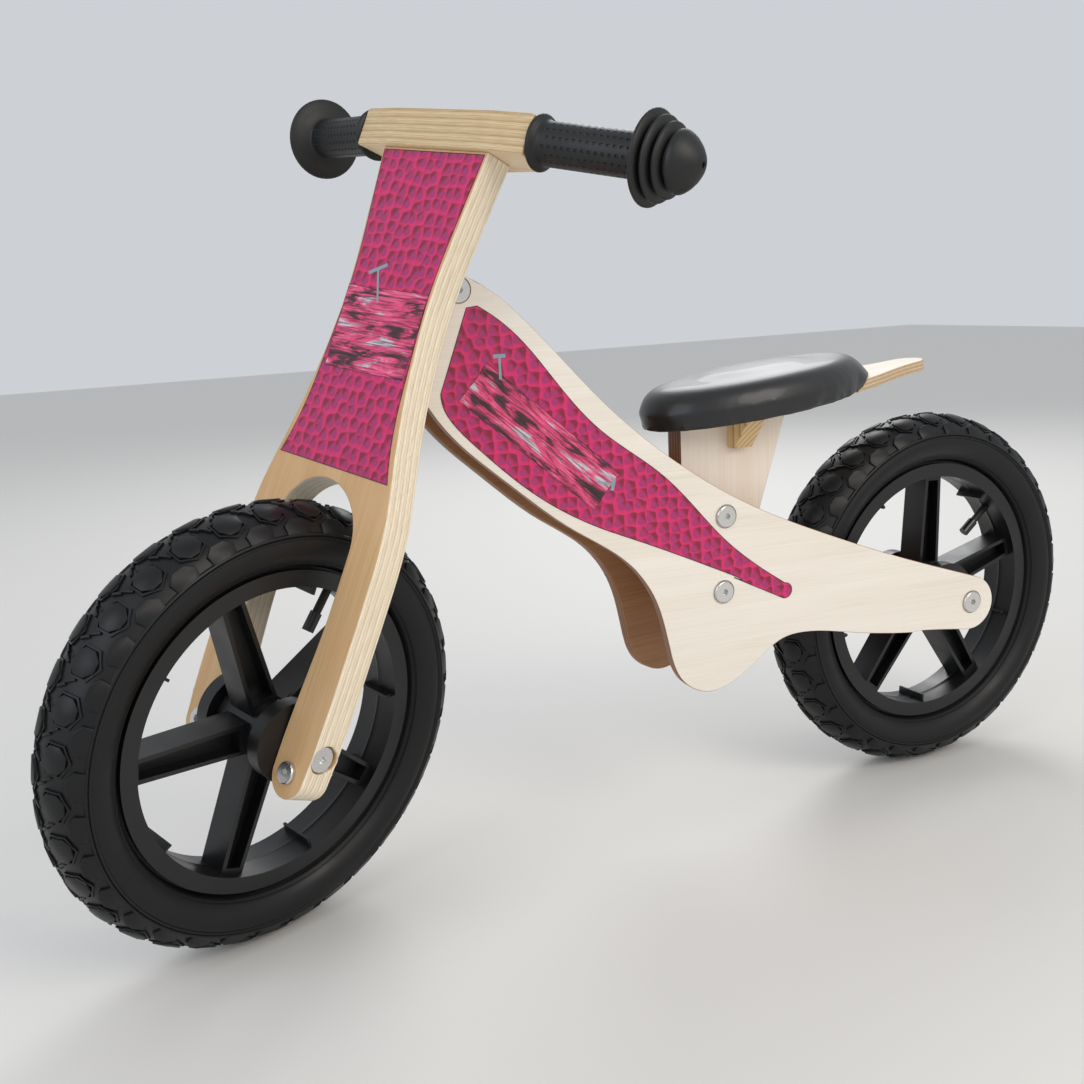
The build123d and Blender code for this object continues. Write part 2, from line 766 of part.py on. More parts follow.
def bracket(end, direction):
    """Steel angle bracket: one leg on the fork's back, one ear round the steering pin."""
    gap = bush_flange + side_clearance
    near = end + direction * gap
    far = near + direction * ear_thickness
    back = -fork_thickness / 2
    middle = (near + far) / 2
    ear_length = back + axis_setback
    ear = Pos(back - ear_length / 2, 0, middle) * Box(ear_length, bracket_width, ear_thickness)
    ear += rod_along_z(bracket_width / 2, near, far, -axis_setback)
    leg_end = end + direction * bracket_leg
    leg = Pos(back - ear_thickness / 2, 0, (near + leg_end) / 2)
    leg *= Box(ear_thickness, bracket_width, abs(leg_end - near))
    shape = ear + leg - Pos(back + bracket_width, 0, middle) * Box(2 * bracket_width, 2 * bracket_width, 99)
    shape -= rod_along_z(pin_radius + hole_clearance, near - 10, far + 10, -axis_setback)
    for y, z in bracket_screw_places():
        shape -= rod_along_x(screw_radius + hole_clearance, back - 10, back + 1, y, z)
    return shape


def bracket_screws():
    """Pan-head screws that hold the hinge brackets to the fork."""
    screws = []
    seat = -fork_thickness / 2 - ear_thickness
    for y, z in bracket_screw_places():
        head = Pos(seat, y, z) * Rot(Y=-90) * flanged_head(screw_head_radius, 2.2, 2.4, 1.2)
        screws.append(head + rod_along_x(screw_radius, seat - 0.5, fork_screw_end(), y, z))
    return Compound(children=screws)


def ear_outside(end, direction):
    """Outer face of a bracket's ear."""
    return end + direction * (bush_flange + side_clearance + ear_thickness)


def steering_pin():
    """Long hinge bolt through both brackets and the head block."""
    top, foot = ear_outside(head_high, 1), ear_outside(head_low, -1)
    head = Pos(0, 0, top) * flanged_head(pin_head_radius, pin_head, socket_width, socket_depth)
    shank = rod_along_z(pin_radius, foot - nut_height, top + 0.5)
    return Pos(-axis_setback, 0, 0) * (head + shank)


def steering_pin_nut():
    """Locking nut under the lower bracket."""
    foot = ear_outside(head_low, -1)
    nut = Pos(0, 0, foot) * extrude(RegularPolygon(nut_radius, 6), -nut_height)
    nut -= rod_along_z(pin_radius, foot - 2 * nut_height, foot + 1)
    return Pos(-axis_setback, 0, 0) * nut


def bar_end_frame(side):
    """Place of one grip's inner end, with Z pointing outward along the grip."""
    lift = fork_height + bar_thickness / 2
    return Pos(bar_end_middle, side * bar_half_length, lift) * Rot(Z=side * bar_sweep) * Rot(X=-side * 90)


def handlebar_block():
    """Plywood crossbar, straight in the middle with tapered, swept ends."""
    sweep = radians(bar_sweep)
    reach = bar_end_depth / 2
    front_end = (bar_end_middle + reach * cos(sweep), bar_half_length + reach * sin(sweep))
    back_end = (bar_end_middle - reach * cos(sweep), bar_half_length - reach * sin(sweep))
    half = [(bar_front, 0), (bar_front, bar_straight), front_end, back_end, (-bar_back, bar_straight - 12)]
    points = half + [(x, -y) for x, y in reversed(half[1:])]
    with BuildSketch() as plan:
        with BuildLine():
            Polyline(points, close=True)
        make_face()
        corners = [v for v in plan.vertices() if abs(abs(v.Y) - bar_straight) < 0.1]
        fillet(corners, 18)
    block = Pos(0, 0, fork_height) * extrude(plan.sketch, bar_thickness)
    long_edges = block.edges().filter_by(Plane.XY).group_by(Axis.Z)[-1]
    block = chamfer(long_edges, 1.2)
    for side in (-1, 1):
        frame = bar_end_frame(side)
        block -= frame * rod_along_z(rod_radius + hole_clearance, -rod_in_bar - 0.5, 10)
        top = fork_height + bar_thickness
        block -= rod_along_z(bolt_radius + hole_clearance, fork_height - 1, top + 1, 0, side * bar_bolt_side)
        block -= rod_along_z(bolt_head_radius + hole_clearance, top - bolt_head - bar_recess, top + 1,
                             0, side * bar_bolt_side)
    return block


def handlebar_bolts():
    """Bolts down through the handlebar into the fork."""
    bolts = []
    seat = fork_height + bar_thickness - bolt_head - bar_recess
    for side in (-1, 1):
        head = Pos(0, side * bar_bolt_side, seat)
        head *= flanged_head(bolt_head_radius, bolt_head, socket_width, socket_depth)
        bolts.append(head + rod_along_z(bolt_radius, fork_height - 38, seat + 0.5, 0, side * bar_bolt_side))
    return Compound(children=bolts)


def handlebar_rod(side):
    """Steel rod glued into one end of the handlebar to carry its grip."""
    return bar_end_frame(side) * rod_along_z(rod_radius, -rod_in_bar, rod_in_grip)


def grip(side):
    """Rubber grip: inner flange, sleeve and a stepped bumper with a domed end."""
    start = soft_clearance
    bore = rod_radius + hole_clearance
    sleeve_end = grip_length - bumper_length
    dome = sleeve_end + 3 * bumper_step
    outside = [(bore, start), (grip_flange_radius, start), (grip_flange_radius, start + grip_flange),
               (grip_radius, start + grip_flange + 2), (grip_radius, sleeve_end - bumper_step),
               (bumper_radius, sleeve_end)]
    for number in range(3):
        radius = bumper_radius - number * bumper_shrink
        floor = sleeve_end + number * bumper_step
        outside += [(radius, floor + bumper_step * 0.6), (radius - bumper_shrink, floor + bumper_step)]
    shoulder = outside[-1]
    with BuildSketch() as section:
        with BuildLine():
            Polyline(*outside)
            Line(shoulder, (shoulder[0], dome + 3))
            ThreePointArc((shoulder[0], dome + 3), (shoulder[0] * 0.78, grip_length - 4), (6, grip_length))
            Polyline((6, grip_length), (0, grip_length), (0, rod_in_grip + 1), (bore, rod_in_grip + 1),
                     (bore, start))
        make_face()
    return bar_end_frame(side) * Rot(X=90) * revolve(section.sketch, Axis.Y)


def fork_sticker():
    """Thin printed film on the front of the fork."""
    low, high = arch_height + 8, fork_height - 2
    edge = [(50, high), (44.5, 355), (40.5, 305), (43, 260), (48, 215), (58, low)]
    with BuildSketch() as outline:
        with BuildLine():
            Line((-50, high), edge[0])
            Spline(*edge)
            Line(edge[-1], (-58, low))
            Spline(*[(-y, z) for y, z in reversed(edge)])
        make_face()
    return Pos(fork_thickness / 2, 0, 0) * facing_front(extrude(outline.sketch, film))


def steering_parts():
    """All the pieces that turn with the handlebar."""
    parts = {
        "fork_board": fork_board(),
        "fork_sticker": fork_sticker(),
        "handlebar_block": handlebar_block(),
        "handlebar_bolts": handlebar_bolts(),
        "left_handlebar_rod": handlebar_rod(1),
        "right_handlebar_rod": handlebar_rod(-1),
        "left_grip": grip(1),
        "right_grip": grip(-1),
        "upper_hinge_bracket": bracket(head_high, 1),
        "lower_hinge_bracket": bracket(head_low, -1),
        "bracket_screws": bracket_screws(),
        "steering_pin": steering_pin(),
        "steering_pin_nut": steering_pin_nut(),
        "leg_bolts": leg_bolts(),
        "leg_nuts": leg_nuts(),
        "left_front_disc": front_disc(),
        "right_front_disc": mirrored(front_disc()),
        "front_axle_washers": front_washers(),
        "front_axle": bolt_along_y(axle_radius, axle_head_radius, axle_seat() + washer,
                                   -axle_seat() - washer - 0.5),
        "front_axle_nut": cap_nut(axle_head_radius, axle_seat() + washer, axle_radius, depth=0.5),
    }
    return {name: steered(shape) for name, shape in parts.items()}


def main():
    """Build every piece, centre the bike over its origin and write the files."""
    parts = frame_parts()
    parts.update(steering_parts())
    parts.update(wheel("front", steered, front_wheel_turn))
    parts.update(wheel("rear", on_rear_axle, rear_wheel_turn))
    box = Compound([solid for shape in parts.values() for solid in shape.solids()]).bounding_box()
    to_origin = Pos(-box.center().X, -box.center().Y, -box.min.Z)
    os.makedirs("parts", exist_ok=True)
    for name, shape in parts.items():
        solids = [to_origin * solid for solid in shape.solids()]
        export_step(solids[0] if len(solids) == 1 else Compound(solids), f"parts/{name}.step")
    print("whole size", box.size, "moved by", to_origin.position)
    for label, point in (("rear axle", on_rear_axle(Pos(0, 0, 0))), ("front wheel", steered(Pos(0, 0, 0))),
                         ("steering axis", steered(Pos(-axis_setback, 0, 0))),
                         ("handlebar top", steered(Pos(0, 0, fork_height + bar_thickness)))):
        print(label, (to_origin * point).position)
    print("steering direction", (Rot(Y=-rake) * Pos(0, 0, 1)).position)
    print("front wheel axis", (Rot(Y=-rake) * Rot(Z=steer_at_rest) * Pos(0, 1, 0)).position)


main()
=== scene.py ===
import json
import math
import random
import bmesh
import bpy
from mathutils import Matrix, Vector
from mathutils.bvhtree import BVHTree


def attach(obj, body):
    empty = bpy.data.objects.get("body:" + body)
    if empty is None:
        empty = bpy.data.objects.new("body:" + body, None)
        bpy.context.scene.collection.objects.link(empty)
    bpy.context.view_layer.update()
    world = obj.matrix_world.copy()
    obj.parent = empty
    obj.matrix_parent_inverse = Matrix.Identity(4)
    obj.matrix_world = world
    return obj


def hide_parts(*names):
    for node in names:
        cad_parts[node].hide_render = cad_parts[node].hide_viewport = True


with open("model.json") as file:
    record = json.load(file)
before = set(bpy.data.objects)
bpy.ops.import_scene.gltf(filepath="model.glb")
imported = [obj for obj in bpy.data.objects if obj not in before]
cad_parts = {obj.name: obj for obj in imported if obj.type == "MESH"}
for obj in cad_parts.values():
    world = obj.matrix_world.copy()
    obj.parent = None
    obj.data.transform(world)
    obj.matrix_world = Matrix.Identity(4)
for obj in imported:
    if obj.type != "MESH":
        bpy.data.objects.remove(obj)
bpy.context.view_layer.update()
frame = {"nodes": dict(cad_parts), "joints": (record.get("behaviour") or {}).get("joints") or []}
nodes = frame["nodes"]
joints = {joint["name"]: joint for joint in frame["joints"]}
mm = 0.001


# colours, nodes and materials

def tint(hexColour):
    # an sRGB hex value as linear red, green, blue and alpha
    values = [int(hexColour[start:start + 2], 16) / 255 for start in (1, 3, 5)]
    return tuple(v / 12.92 if v <= 0.04045 else ((v + 0.055) / 1.055) ** 2.4 for v in values) + (1.0,)


def addNode(tree, kind, settings=None, links=None):
    # settings are attributes, or sockets by name or number, and stops fill a colour ramp
    node = tree.nodes.new(kind)
    for name, value in (settings or {}).items():
        if name == "stops":
            points = node.color_ramp.elements
            while len(points) < len(value):
                points.new(0.5)
            for point, (position, colour) in zip(points, value):
                point.position = position
                point.color = tint(colour)
        elif isinstance(name, str) and name not in node.inputs:
            setattr(node, name, value)
        else:
            node.inputs[name].default_value = value
    for name, source in (links or {}).items():
        tree.links.new(source, node.inputs[name])
    return node


def startMaterial(name, colour="#808080", roughness=0.5, **sockets):
    material = bpy.data.materials.new(name)
    material.use_nodes = True
    shader = material.node_tree.nodes["Principled BSDF"]
    shader.inputs["Base Color"].default_value = tint(colour)
    shader.inputs["Roughness"].default_value = roughness
    for socket, value in sockets.items():
        shader.inputs[socket.replace("_", " ")].default_value = value
    return material, material.node_tree, shader


def localPoint(tree, place):
    # object coordinates seen from a piece's own axes, in millimetres
    coordinates = addNode(tree, "ShaderNodeTexCoord")
    turn = place.to_euler()
    return addNode(tree, "ShaderNodeMapping", {
        "vector_type": "TEXTURE", "Location": place.translation, "Rotation": turn, "Scale": (mm, mm, mm),
    }, {"Vector": coordinates.outputs["Object"]}).outputs["Vector"]


def stretched(tree, point, scale):
    return addNode(tree, "ShaderNodeMapping", {"Scale": scale}, {"Vector": point}).outputs["Vector"]


# places

bikeOrigin = Vector((joints["rear_wheel_spin"]["pos_m"][0], joints["rear_wheel_spin"]["pos_m"][1], 0))
frontHub = Vector(joints["front_wheel_spin"]["pos_m"])
forkUp = Vector(joints["steering_turn"]["axis"]).normalized()
forkLeft = Vector(joints["front_wheel_spin"]["axis"]).normalized()
forkAhead = forkLeft.cross(forkUp)


def placeOf(origin, alongX, alongY, alongZ):
    place = Matrix((alongX, alongY, alongZ)).transposed().to_4x4()
    place.translation = origin
    return place


layout = dict(rearHalfGap=54.5, splay=math.atan(0.0931), seatTilt=math.radians(6), seatReference=200,
              seatHeight=330)
bothSides = ((1, "left"), (-1, "right"))
up = Vector((0, 0, 1))
leftward = Vector((0, 1, 0))


def panelFrame(side):
    along = Matrix.Rotation(-side * layout["splay"], 3, "Z") @ Vector((1, 0, 0))
    start = bikeOrigin + Vector((0, side * layout["rearHalfGap"] * mm, 0))
    return placeOf(start, along, up, along.cross(up))


panelPlace = {side: panelFrame(side) for side, word in bothSides}
forkPlace = placeOf(frontHub, forkAhead, forkLeft, forkUp)
forkFacePlace = placeOf(frontHub, forkLeft, forkUp, forkAhead)
barPlace = placeOf(frontHub, forkLeft, -forkAhead, forkUp)
postPlace = placeOf(bikeOrigin, up, Vector((-1, 0, 0)), -leftward)
seatPivot = Vector((layout["seatReference"] * mm, 0, layout["seatHeight"] * mm))
seatPlace = (Matrix.Translation(bikeOrigin + seatPivot) @ Matrix.Rotation(layout["seatTilt"], 4, "Y")
             @ Matrix.Translation((-layout["seatReference"] * mm, 0, 0)))


# wood

def plywood(name, place, finish, inside=0):
    # peeled veneers glued crosswise: a pale face with faint fibres, and edges that show every layer;
    # inside is the sign of the face that looks towards the other panel, coloured a darker brown that is partly the
    # wood's own tone and partly painted shade between the panels
    material, tree, shader = startMaterial(name, roughness=finish["roughness"], Specular_IOR_Level=0.4)
    point = localPoint(tree, place)
    fibre = addNode(tree, "ShaderNodeTexNoise", {"Scale": 1.0, "Detail": 4.0, "Roughness": 0.6},
                    {"Vector": stretched(tree, point, finish["fibre"])})
    figure = addNode(tree, "ShaderNodeTexNoise", {"Scale": 1.0, "Detail": 2.0},
                     {"Vector": stretched(tree, point, finish["figure"])})
    grain = addNode(tree, "ShaderNodeMath", {"operation": "MULTIPLY_ADD", 1: 0.55},
                    {0: fibre.outputs["Fac"], 2: addNode(tree, "ShaderNodeMath", {
                        "operation": "MULTIPLY", 1: 0.45}, {0: figure.outputs["Fac"]}).outputs[0]})
    face = addNode(tree, "ShaderNodeValToRGB", {"stops": finish["face"]}, {"Fac": grain.outputs[0]}).outputs["Color"]
    coordinates = addNode(tree, "ShaderNodeTexCoord")
    facing = addNode(tree, "ShaderNodeVectorMath", {"operation": "DOT_PRODUCT", 1: place.col[2].to_3d()},
                     {0: coordinates.outputs["Normal"]})
    # the inner face gets a darker colour: partly the wood's own tone, partly painted shade between the panels
    if inside:
        inward = addNode(tree, "ShaderNodeMapRange", {"From Min": 0.4 * inside, "From Max": 0.6 * inside},
                         {"Value": facing.outputs["Value"]})
        brown = addNode(tree, "ShaderNodeValToRGB", {"stops": finish["innerToneAndShade"]}, {"Fac": grain.outputs[0]})
        face = addNode(tree, "ShaderNodeMix", {"data_type": "RGBA"},
                       {0: inward.outputs[0], 6: face, 7: brown.outputs["Color"]}).outputs[2]
    depth = addNode(tree, "ShaderNodeSeparateXYZ", {}, {0: point}).outputs["Z"]
    wander = addNode(tree, "ShaderNodeTexNoise", {"Scale": 0.06, "Detail": 3.0}, {"Vector": point})
    wavy = addNode(tree, "ShaderNodeMath", {"operation": "MULTIPLY_ADD", 1: finish["wander"]},
                   {0: wander.outputs["Fac"], 2: depth})
    layers = addNode(tree, "ShaderNodeMath", {"operation": "DIVIDE", 1: finish["ply"]}, {0: wavy.outputs[0]})
    shifted = addNode(tree, "ShaderNodeMath", {"operation": "ADD", 1: finish["start"]}, {0: layers.outputs[0]})
    within = addNode(tree, "ShaderNodeMath", {"operation": "FRACT"}, {0: shifted.outputs[0]})
    pair = addNode(tree, "ShaderNodeMath", {"operation": "FRACT"},
                   {0: addNode(tree, "ShaderNodeMath", {"operation": "MULTIPLY", 1: 0.5},
                               {0: shifted.outputs[0]}).outputs[0]})
    layer = addNode(tree, "ShaderNodeValToRGB", {"stops": finish["layers"]}, {"Fac": pair.outputs[0]})
    layer.color_ramp.interpolation = "EASE"
    glue = addNode(tree, "ShaderNodeValToRGB", {"stops": finish["glueMask"]}, {"Fac": within.outputs[0]})
    speckle = addNode(tree, "ShaderNodeTexNoise", {"Scale": 1.1, "Detail": 5.0, "Roughness": 0.7},
                      {"Vector": stretched(tree, point, finish["endGrain"])})
    speckled = addNode(tree, "ShaderNodeMix", {"data_type": "RGBA", "blend_type": "MULTIPLY", 0: 0.35},
                       {6: layer.outputs["Color"], 7: addNode(tree, "ShaderNodeValToRGB", {
                           "stops": [(0.35, "#a08060"), (0.6, "#ffffff")]},
                           {"Fac": speckle.outputs["Fac"]}).outputs["Color"]})
    edge = addNode(tree, "ShaderNodeMix", {"data_type": "RGBA", 7: tint(finish["glue"])},
                   {0: glue.outputs["Color"], 6: speckled.outputs[2]})
    flat = addNode(tree, "ShaderNodeMapRange", {"From Min": 0.72, "From Max": 0.86},
                   {"Value": addNode(tree, "ShaderNodeMath", {"operation": "ABSOLUTE"},
                                     {0: facing.outputs["Value"]}).outputs[0]})
    mixed = addNode(tree, "ShaderNodeMix", {"data_type": "RGBA"},
                    {0: flat.outputs[0], 6: edge.outputs[2], 7: face})
    tree.links.new(mixed.outputs[2], shader.inputs["Base Color"])
    relief = addNode(tree, "ShaderNodeBump", {"Strength": 0.12, "Distance": 0.0002},
                     {"Height": grain.outputs[0]})
    tree.links.new(relief.outputs["Normal"], shader.inputs["Normal"])
    return material


birchFinish = dict(
    roughness=0.45, fibre=(0.012, 0.9, 0.9), figure=(0.004, 0.05, 0.05), ply=1.5, start=0.0, wander=0.25,
    face=[(0.3, "#dcd2c3"), (0.46, "#e6ded1"), (0.62, "#ece5da")],
    # the dark brown of the panel edges is partly the burn of the laser cut and partly painted shade from the panels'
    # undersides
    layers=[(0.0, "#a77a54"), (0.46, "#9d6f4a"), (0.54, "#86593a"), (0.98, "#7d5236")],
    glueMask=[(0.0, "#ffffff"), (0.1, "#000000"), (0.9, "#000000"), (1.0, "#ffffff")],
    glue="#5b3a24", endGrain=(0.25, 0.25, 1.2),
    # inner face colours: partly the wood's own tone, partly painted shade between the panels
    innerToneAndShade=[(0.3, "#8c6340"), (0.46, "#a17550"), (0.62, "#b18560")])
forkFinish = dict(
    roughness=0.42, fibre=(0.9, 0.012, 0.9), figure=(0.05, 0.004, 0.05), ply=2.45, start=0.5, wander=0.5,
    face=[(0.3, "#b58a5c"), (0.46, "#c79f70"), (0.62, "#d2ae80")],
    layers=[(0.0, "#f9f0dc"), (0.46, "#f4e8d0"), (0.54, "#ecdaba"), (0.98, "#f5e9d2")],
    glueMask=[(0.0, "#ffffff"), (0.07, "#000000"), (0.93, "#000000"), (1.0, "#ffffff")],
    glue="#a9834f", endGrain=(0.5, 0.05, 1.6))
barFinish = dict(forkFinish, fibre=(0.012, 0.9, 0.9), figure=(0.004, 0.05, 0.05), ply=2.5, start=0.2,
                 face=[(0.3, "#cdb083"), (0.46, "#dcc39b"), (0.62, "#e6d1ad")],
                 layers=[(0.0, "#dcc69d"), (0.46, "#d2ba90"), (0.54, "#c3a77c"), (0.98, "#d8c096")],
                 glue="#8f7147", endGrain=(0.05, 0.5, 1.6))
postFinish = dict(birchFinish, fibre=(0.012, 0.9, 0.9), start=0.5, ply=1.8,
                  face=[(0.3, "#e2cfb8"), (0.46, "#eadccb"), (0.62, "#f0e5d8")])
seatFinish = dict(birchFinish, face=[(0.3, "#c9bba6"), (0.46, "#d8ccb9"), (0.62, "#e3d8c8")],
                  layers=[(0.0, "#dcc8a8"), (0.46, "#d0ba97"), (0.54, "#b89c76"), (0.98, "#c9b08b")],
                  glue="#8a6a48")
birchPly = {side: plywood(f"birchPly{number}", panelPlace[side], birchFinish, side)
            for number, side in enumerate(panelPlace, 1)}
forkPly = plywood("forkBirchPly", forkFacePlace, forkFinish)
barPly = plywood("barBirchPly", barPlace, barFinish)
postPly = plywood("postBirchPly", postPlace, postFinish)
seatPly = plywood("seatBirchPly", seatPlace, seatFinish)


def pineWood(name, place, centre):
    # planed softwood: orange growth rings that show as arcs on the sawn slope
    material, tree, shader = startMaterial(name, roughness=0.5)
    point = localPoint(tree, place)
    moved = addNode(tree, "ShaderNodeMapping", {"Location": centre, "Scale": (1.0, 1.0, 0.12)},
                    {"Vector": point})
    rings = addNode(tree, "ShaderNodeTexWave", {
        "wave_type": "RINGS", "rings_direction": "Z", "wave_profile": "SAW", "Scale": 0.075,
        "Distortion": 1.2, "Detail": 2.0, "Detail Scale": 0.15}, {"Vector": moved.outputs["Vector"]})
    colour = addNode(tree, "ShaderNodeValToRGB", {
        "stops": [(0.0, "#ead3a6"), (0.62, "#dfc08a"), (0.9, "#b98a50"), (1.0, "#e4cb9a")]},
        {"Fac": rings.outputs["Fac"]})
    tree.links.new(colour.outputs["Color"], shader.inputs["Base Color"])
    return material


pine = pineWood("planedPine", Matrix.Translation(bikeOrigin), (-150.0, 12.0, 0.0))
beech = pineWood("planedBeech", Matrix.Translation(bikeOrigin), (-380.0, 20.0, 0.0))


# film and printing

def vinylFilm(name, place, finish):
    # cast vinyl printed with rounded cobbles, each with a dark crescent and a bright rim
    material, tree, shader = startMaterial(name, roughness=0.38, Coat_Weight=0.15)
    point = localPoint(tree, place)
    scale = 1 / finish["cell"]
    near = addNode(tree, "ShaderNodeTexVoronoi", {
        "voronoi_dimensions": "2D", "Scale": scale, "Randomness": finish["randomness"]}, {"Vector": point})
    moved = addNode(tree, "ShaderNodeMapping", {"Location": finish["lightFrom"]}, {"Vector": point})
    lit = addNode(tree, "ShaderNodeTexVoronoi", {
        "voronoi_dimensions": "2D", "Scale": scale, "Randomness": finish["randomness"]},
        {"Vector": moved.outputs["Vector"]})
    body = addNode(tree, "ShaderNodeValToRGB", {"stops": finish["cobble"]}, {"Fac": near.outputs["Distance"]})
    slope = addNode(tree, "ShaderNodeMath", {"operation": "SUBTRACT"},
                    {0: lit.outputs["Distance"], 1: near.outputs["Distance"]})
    rim = addNode(tree, "ShaderNodeMapRange", {"From Min": 0.22, "From Max": 0.4},
                  {"Value": near.outputs["Distance"]})
    strength = addNode(tree, "ShaderNodeMath", {"operation": "MULTIPLY"}, {0: slope.outputs[0], 1: rim.outputs[0]})
    tone = addNode(tree, "ShaderNodeMapRange", {"From Min": -0.11, "From Max": 0.11},
                   {"Value": strength.outputs[0]})
    shade = addNode(tree, "ShaderNodeValToRGB", {"stops": finish["relief"]}, {"Fac": tone.outputs[0]})
    printed = addNode(tree, "ShaderNodeMix", {"data_type": "RGBA", "blend_type": "MULTIPLY", 0: 1.0},
                      {6: body.outputs["Color"], 7: shade.outputs["Color"]})
    blotch = addNode(tree, "ShaderNodeTexNoise", {"Scale": 0.9, "Detail": 3.0}, {"Vector": point})
    varied = addNode(tree, "ShaderNodeMix", {"data_type": "RGBA", "blend_type": "SOFT_LIGHT", 0: 0.35},
                     {6: printed.outputs[2], 7: blotch.outputs["Color"]})
    tree.links.new(varied.outputs[2], shader.inputs["Base Color"])
    return material


vinylFinish = dict(
    cell=9.0, randomness=0.5, lightFrom=(0.9, -0.7, 0.0),
    cobble=[(0.0, "#ac3074"), (0.26, "#a8286c"), (0.34, "#cc1e66"), (0.6, "#d22068")],
    relief=[(0.0, "#a07888"), (0.5, "#efe8eb"), (1.0, "#ffffff")])
panelVinyl = {side: vinylFilm(f"printedVinyl{number}", panelPlace[side], vinylFinish)
              for number, side in enumerate(panelPlace, 1)}
forkVinyl = vinylFilm("printedVinyl3", forkFacePlace, vinylFinish)


def plankInk(name, place):
    # a printed picture of an old painted board: flaking pink paint, bare grey wood and dark cracks
    material, tree, shader = startMaterial(name, roughness=0.4, Coat_Weight=0.1)
    point = localPoint(tree, place)
    flake = addNode(tree, "ShaderNodeTexNoise", {"Scale": 1.0, "Detail": 5.0, "Roughness": 0.62, "Distortion": 0.8},
                    {"Vector": stretched(tree, point, (0.022, 0.10, 0.0))})
    paint = addNode(tree, "ShaderNodeValToRGB", {"stops": [
        (0.34, "#2a141f"), (0.42, "#5a2438"), (0.47, "#d83a70"), (0.56, "#f0628f"), (0.6, "#c7b9c6"),
        (0.7, "#ddd5dc")]}, {"Fac": flake.outputs["Fac"]})
    streak = addNode(tree, "ShaderNodeTexNoise", {"Scale": 1.0, "Detail": 6.0, "Roughness": 0.7},
                     {"Vector": stretched(tree, point, (0.03, 0.8, 0.0))})
    dark = addNode(tree, "ShaderNodeValToRGB", {"stops": [(0.4, "#2e1c26"), (0.54, "#ffffff")]},
                   {"Fac": streak.outputs["Fac"]})
    weathered = addNode(tree, "ShaderNodeMix", {"data_type": "RGBA", "blend_type": "MULTIPLY", 0: 0.8},
                        {6: paint.outputs["Color"], 7: dark.outputs["Color"]})
    tree.links.new(weathered.outputs[2], shader.inputs["Base Color"])
    return material


outlineInk = startMaterial("blackPrintInk", "#1c0f16", 0.4)[0]
nailInk = startMaterial("greyPrintInk", "#7f9ba0", 0.42)[0]


# rubber, plastic, leatherette and metal

def blackMoulding(name, colour, roughness, grit, depth, shift=0.08, **sockets):
    # moulded black rubber or plastic: spark-eroded mould texture, drawn a little coarse so that it shows
    material, tree, shader = startMaterial(name, colour, roughness, **sockets)
    coordinates = addNode(tree, "ShaderNodeTexCoord")
    texture = addNode(tree, "ShaderNodeTexNoise", {"Scale": 1 / (grit * mm), "Detail": 3.0},
                      {"Vector": coordinates.outputs["Object"]})
    relief = addNode(tree, "ShaderNodeBump", {"Strength": 0.35, "Distance": depth * mm},
                     {"Height": texture.outputs["Fac"]})
    handling = addNode(tree, "ShaderNodeTexNoise", {"Scale": 28.0, "Detail": 3.0},
                       {"Vector": coordinates.outputs["Object"]})
    gloss = addNode(tree, "ShaderNodeMapRange", {
        "From Min": 0.3, "From Max": 0.7, "To Min": roughness - shift, "To Max": roughness + shift},
        {"Value": handling.outputs["Fac"]})
    tree.links.new(gloss.outputs[0], shader.inputs["Roughness"])
    tree.links.new(relief.outputs["Normal"], shader.inputs["Normal"])
    return material


tyreRubber = blackMoulding("tyreRubber", "#08090b", 0.46, 0.9, 0.12, Specular_IOR_Level=0.35)
gripRubber = blackMoulding("gripRubber", "#0c0d0e", 0.52, 0.8, 0.1)
tubeRubber = blackMoulding("butylRubber", "#101010", 0.6, 1.0, 0.1)
rimNylon = blackMoulding("glassFilledNylon", "#0a0b0d", 0.4, 1.2, 0.08)
spacerNylon = blackMoulding("mouldedNylon", "#111213", 0.42, 1.2, 0.06)
capPlastic = blackMoulding("mouldedAbs", "#121213", 0.3, 1.5, 0.03)
powderCoat = blackMoulding("blackPowderCoat", "#151516", 0.45, 1.0, 0.12)
bushNylon = blackMoulding("naturalNylon", "#d9d5c9", 0.4, 1.5, 0.03)


def leatherette():
    # stretched vinyl leather: fine pebble grain with a soft satin sheen
    material, tree, shader = startMaterial("blackLeatherette", "#0e0f11", 0.42, Sheen_Weight=0.12, Coat_Weight=0.1)
    coordinates = addNode(tree, "ShaderNodeTexCoord")
    pebble = addNode(tree, "ShaderNodeTexVoronoi", {"Scale": 1 / (1.3 * mm), "Randomness": 0.9},
                     {"Vector": coordinates.outputs["Object"]})
    relief = addNode(tree, "ShaderNodeBump", {"Strength": 0.3, "Distance": 0.00012},
                     {"Height": pebble.outputs["Distance"]})
    tree.links.new(relief.outputs["Normal"], shader.inputs["Normal"])
    worn = addNode(tree, "ShaderNodeTexNoise", {"Scale": 14.0, "Detail": 2.0},
                   {"Vector": coordinates.outputs["Object"]})
    gloss = addNode(tree, "ShaderNodeMapRange", {"To Min": 0.36, "To Max": 0.5}, {"Value": worn.outputs["Fac"]})
    tree.links.new(gloss.outputs[0], shader.inputs["Roughness"])
    return material


def metal(name, colour, roughness, lay):
    # plated or ground steel: bright, with the faint lay of the tool
    material, tree, shader = startMaterial(name, colour, roughness, Metallic=1.0)
    coordinates = addNode(tree, "ShaderNodeTexCoord")
    lines = addNode(tree, "ShaderNodeTexNoise", {"Scale": 1.0, "Detail": 3.0},
                    {"Vector": stretched(tree, coordinates.outputs["Object"], lay)})
    gloss = addNode(tree, "ShaderNodeMapRange", {"To Min": roughness - 0.08, "To Max": roughness + 0.1},
                    {"Value": lines.outputs["Fac"]})
    tree.links.new(gloss.outputs[0], shader.inputs["Roughness"])
    return material


seatSkin = leatherette()
zincSteel = metal("brightZincSteel", "#d6d5d3", 0.24, (900.0, 90.0, 900.0))
groundSteel = metal("groundSteel", "#c2c2c4", 0.3, (1200.0, 60.0, 1200.0))
print("materials ready")


# shared making

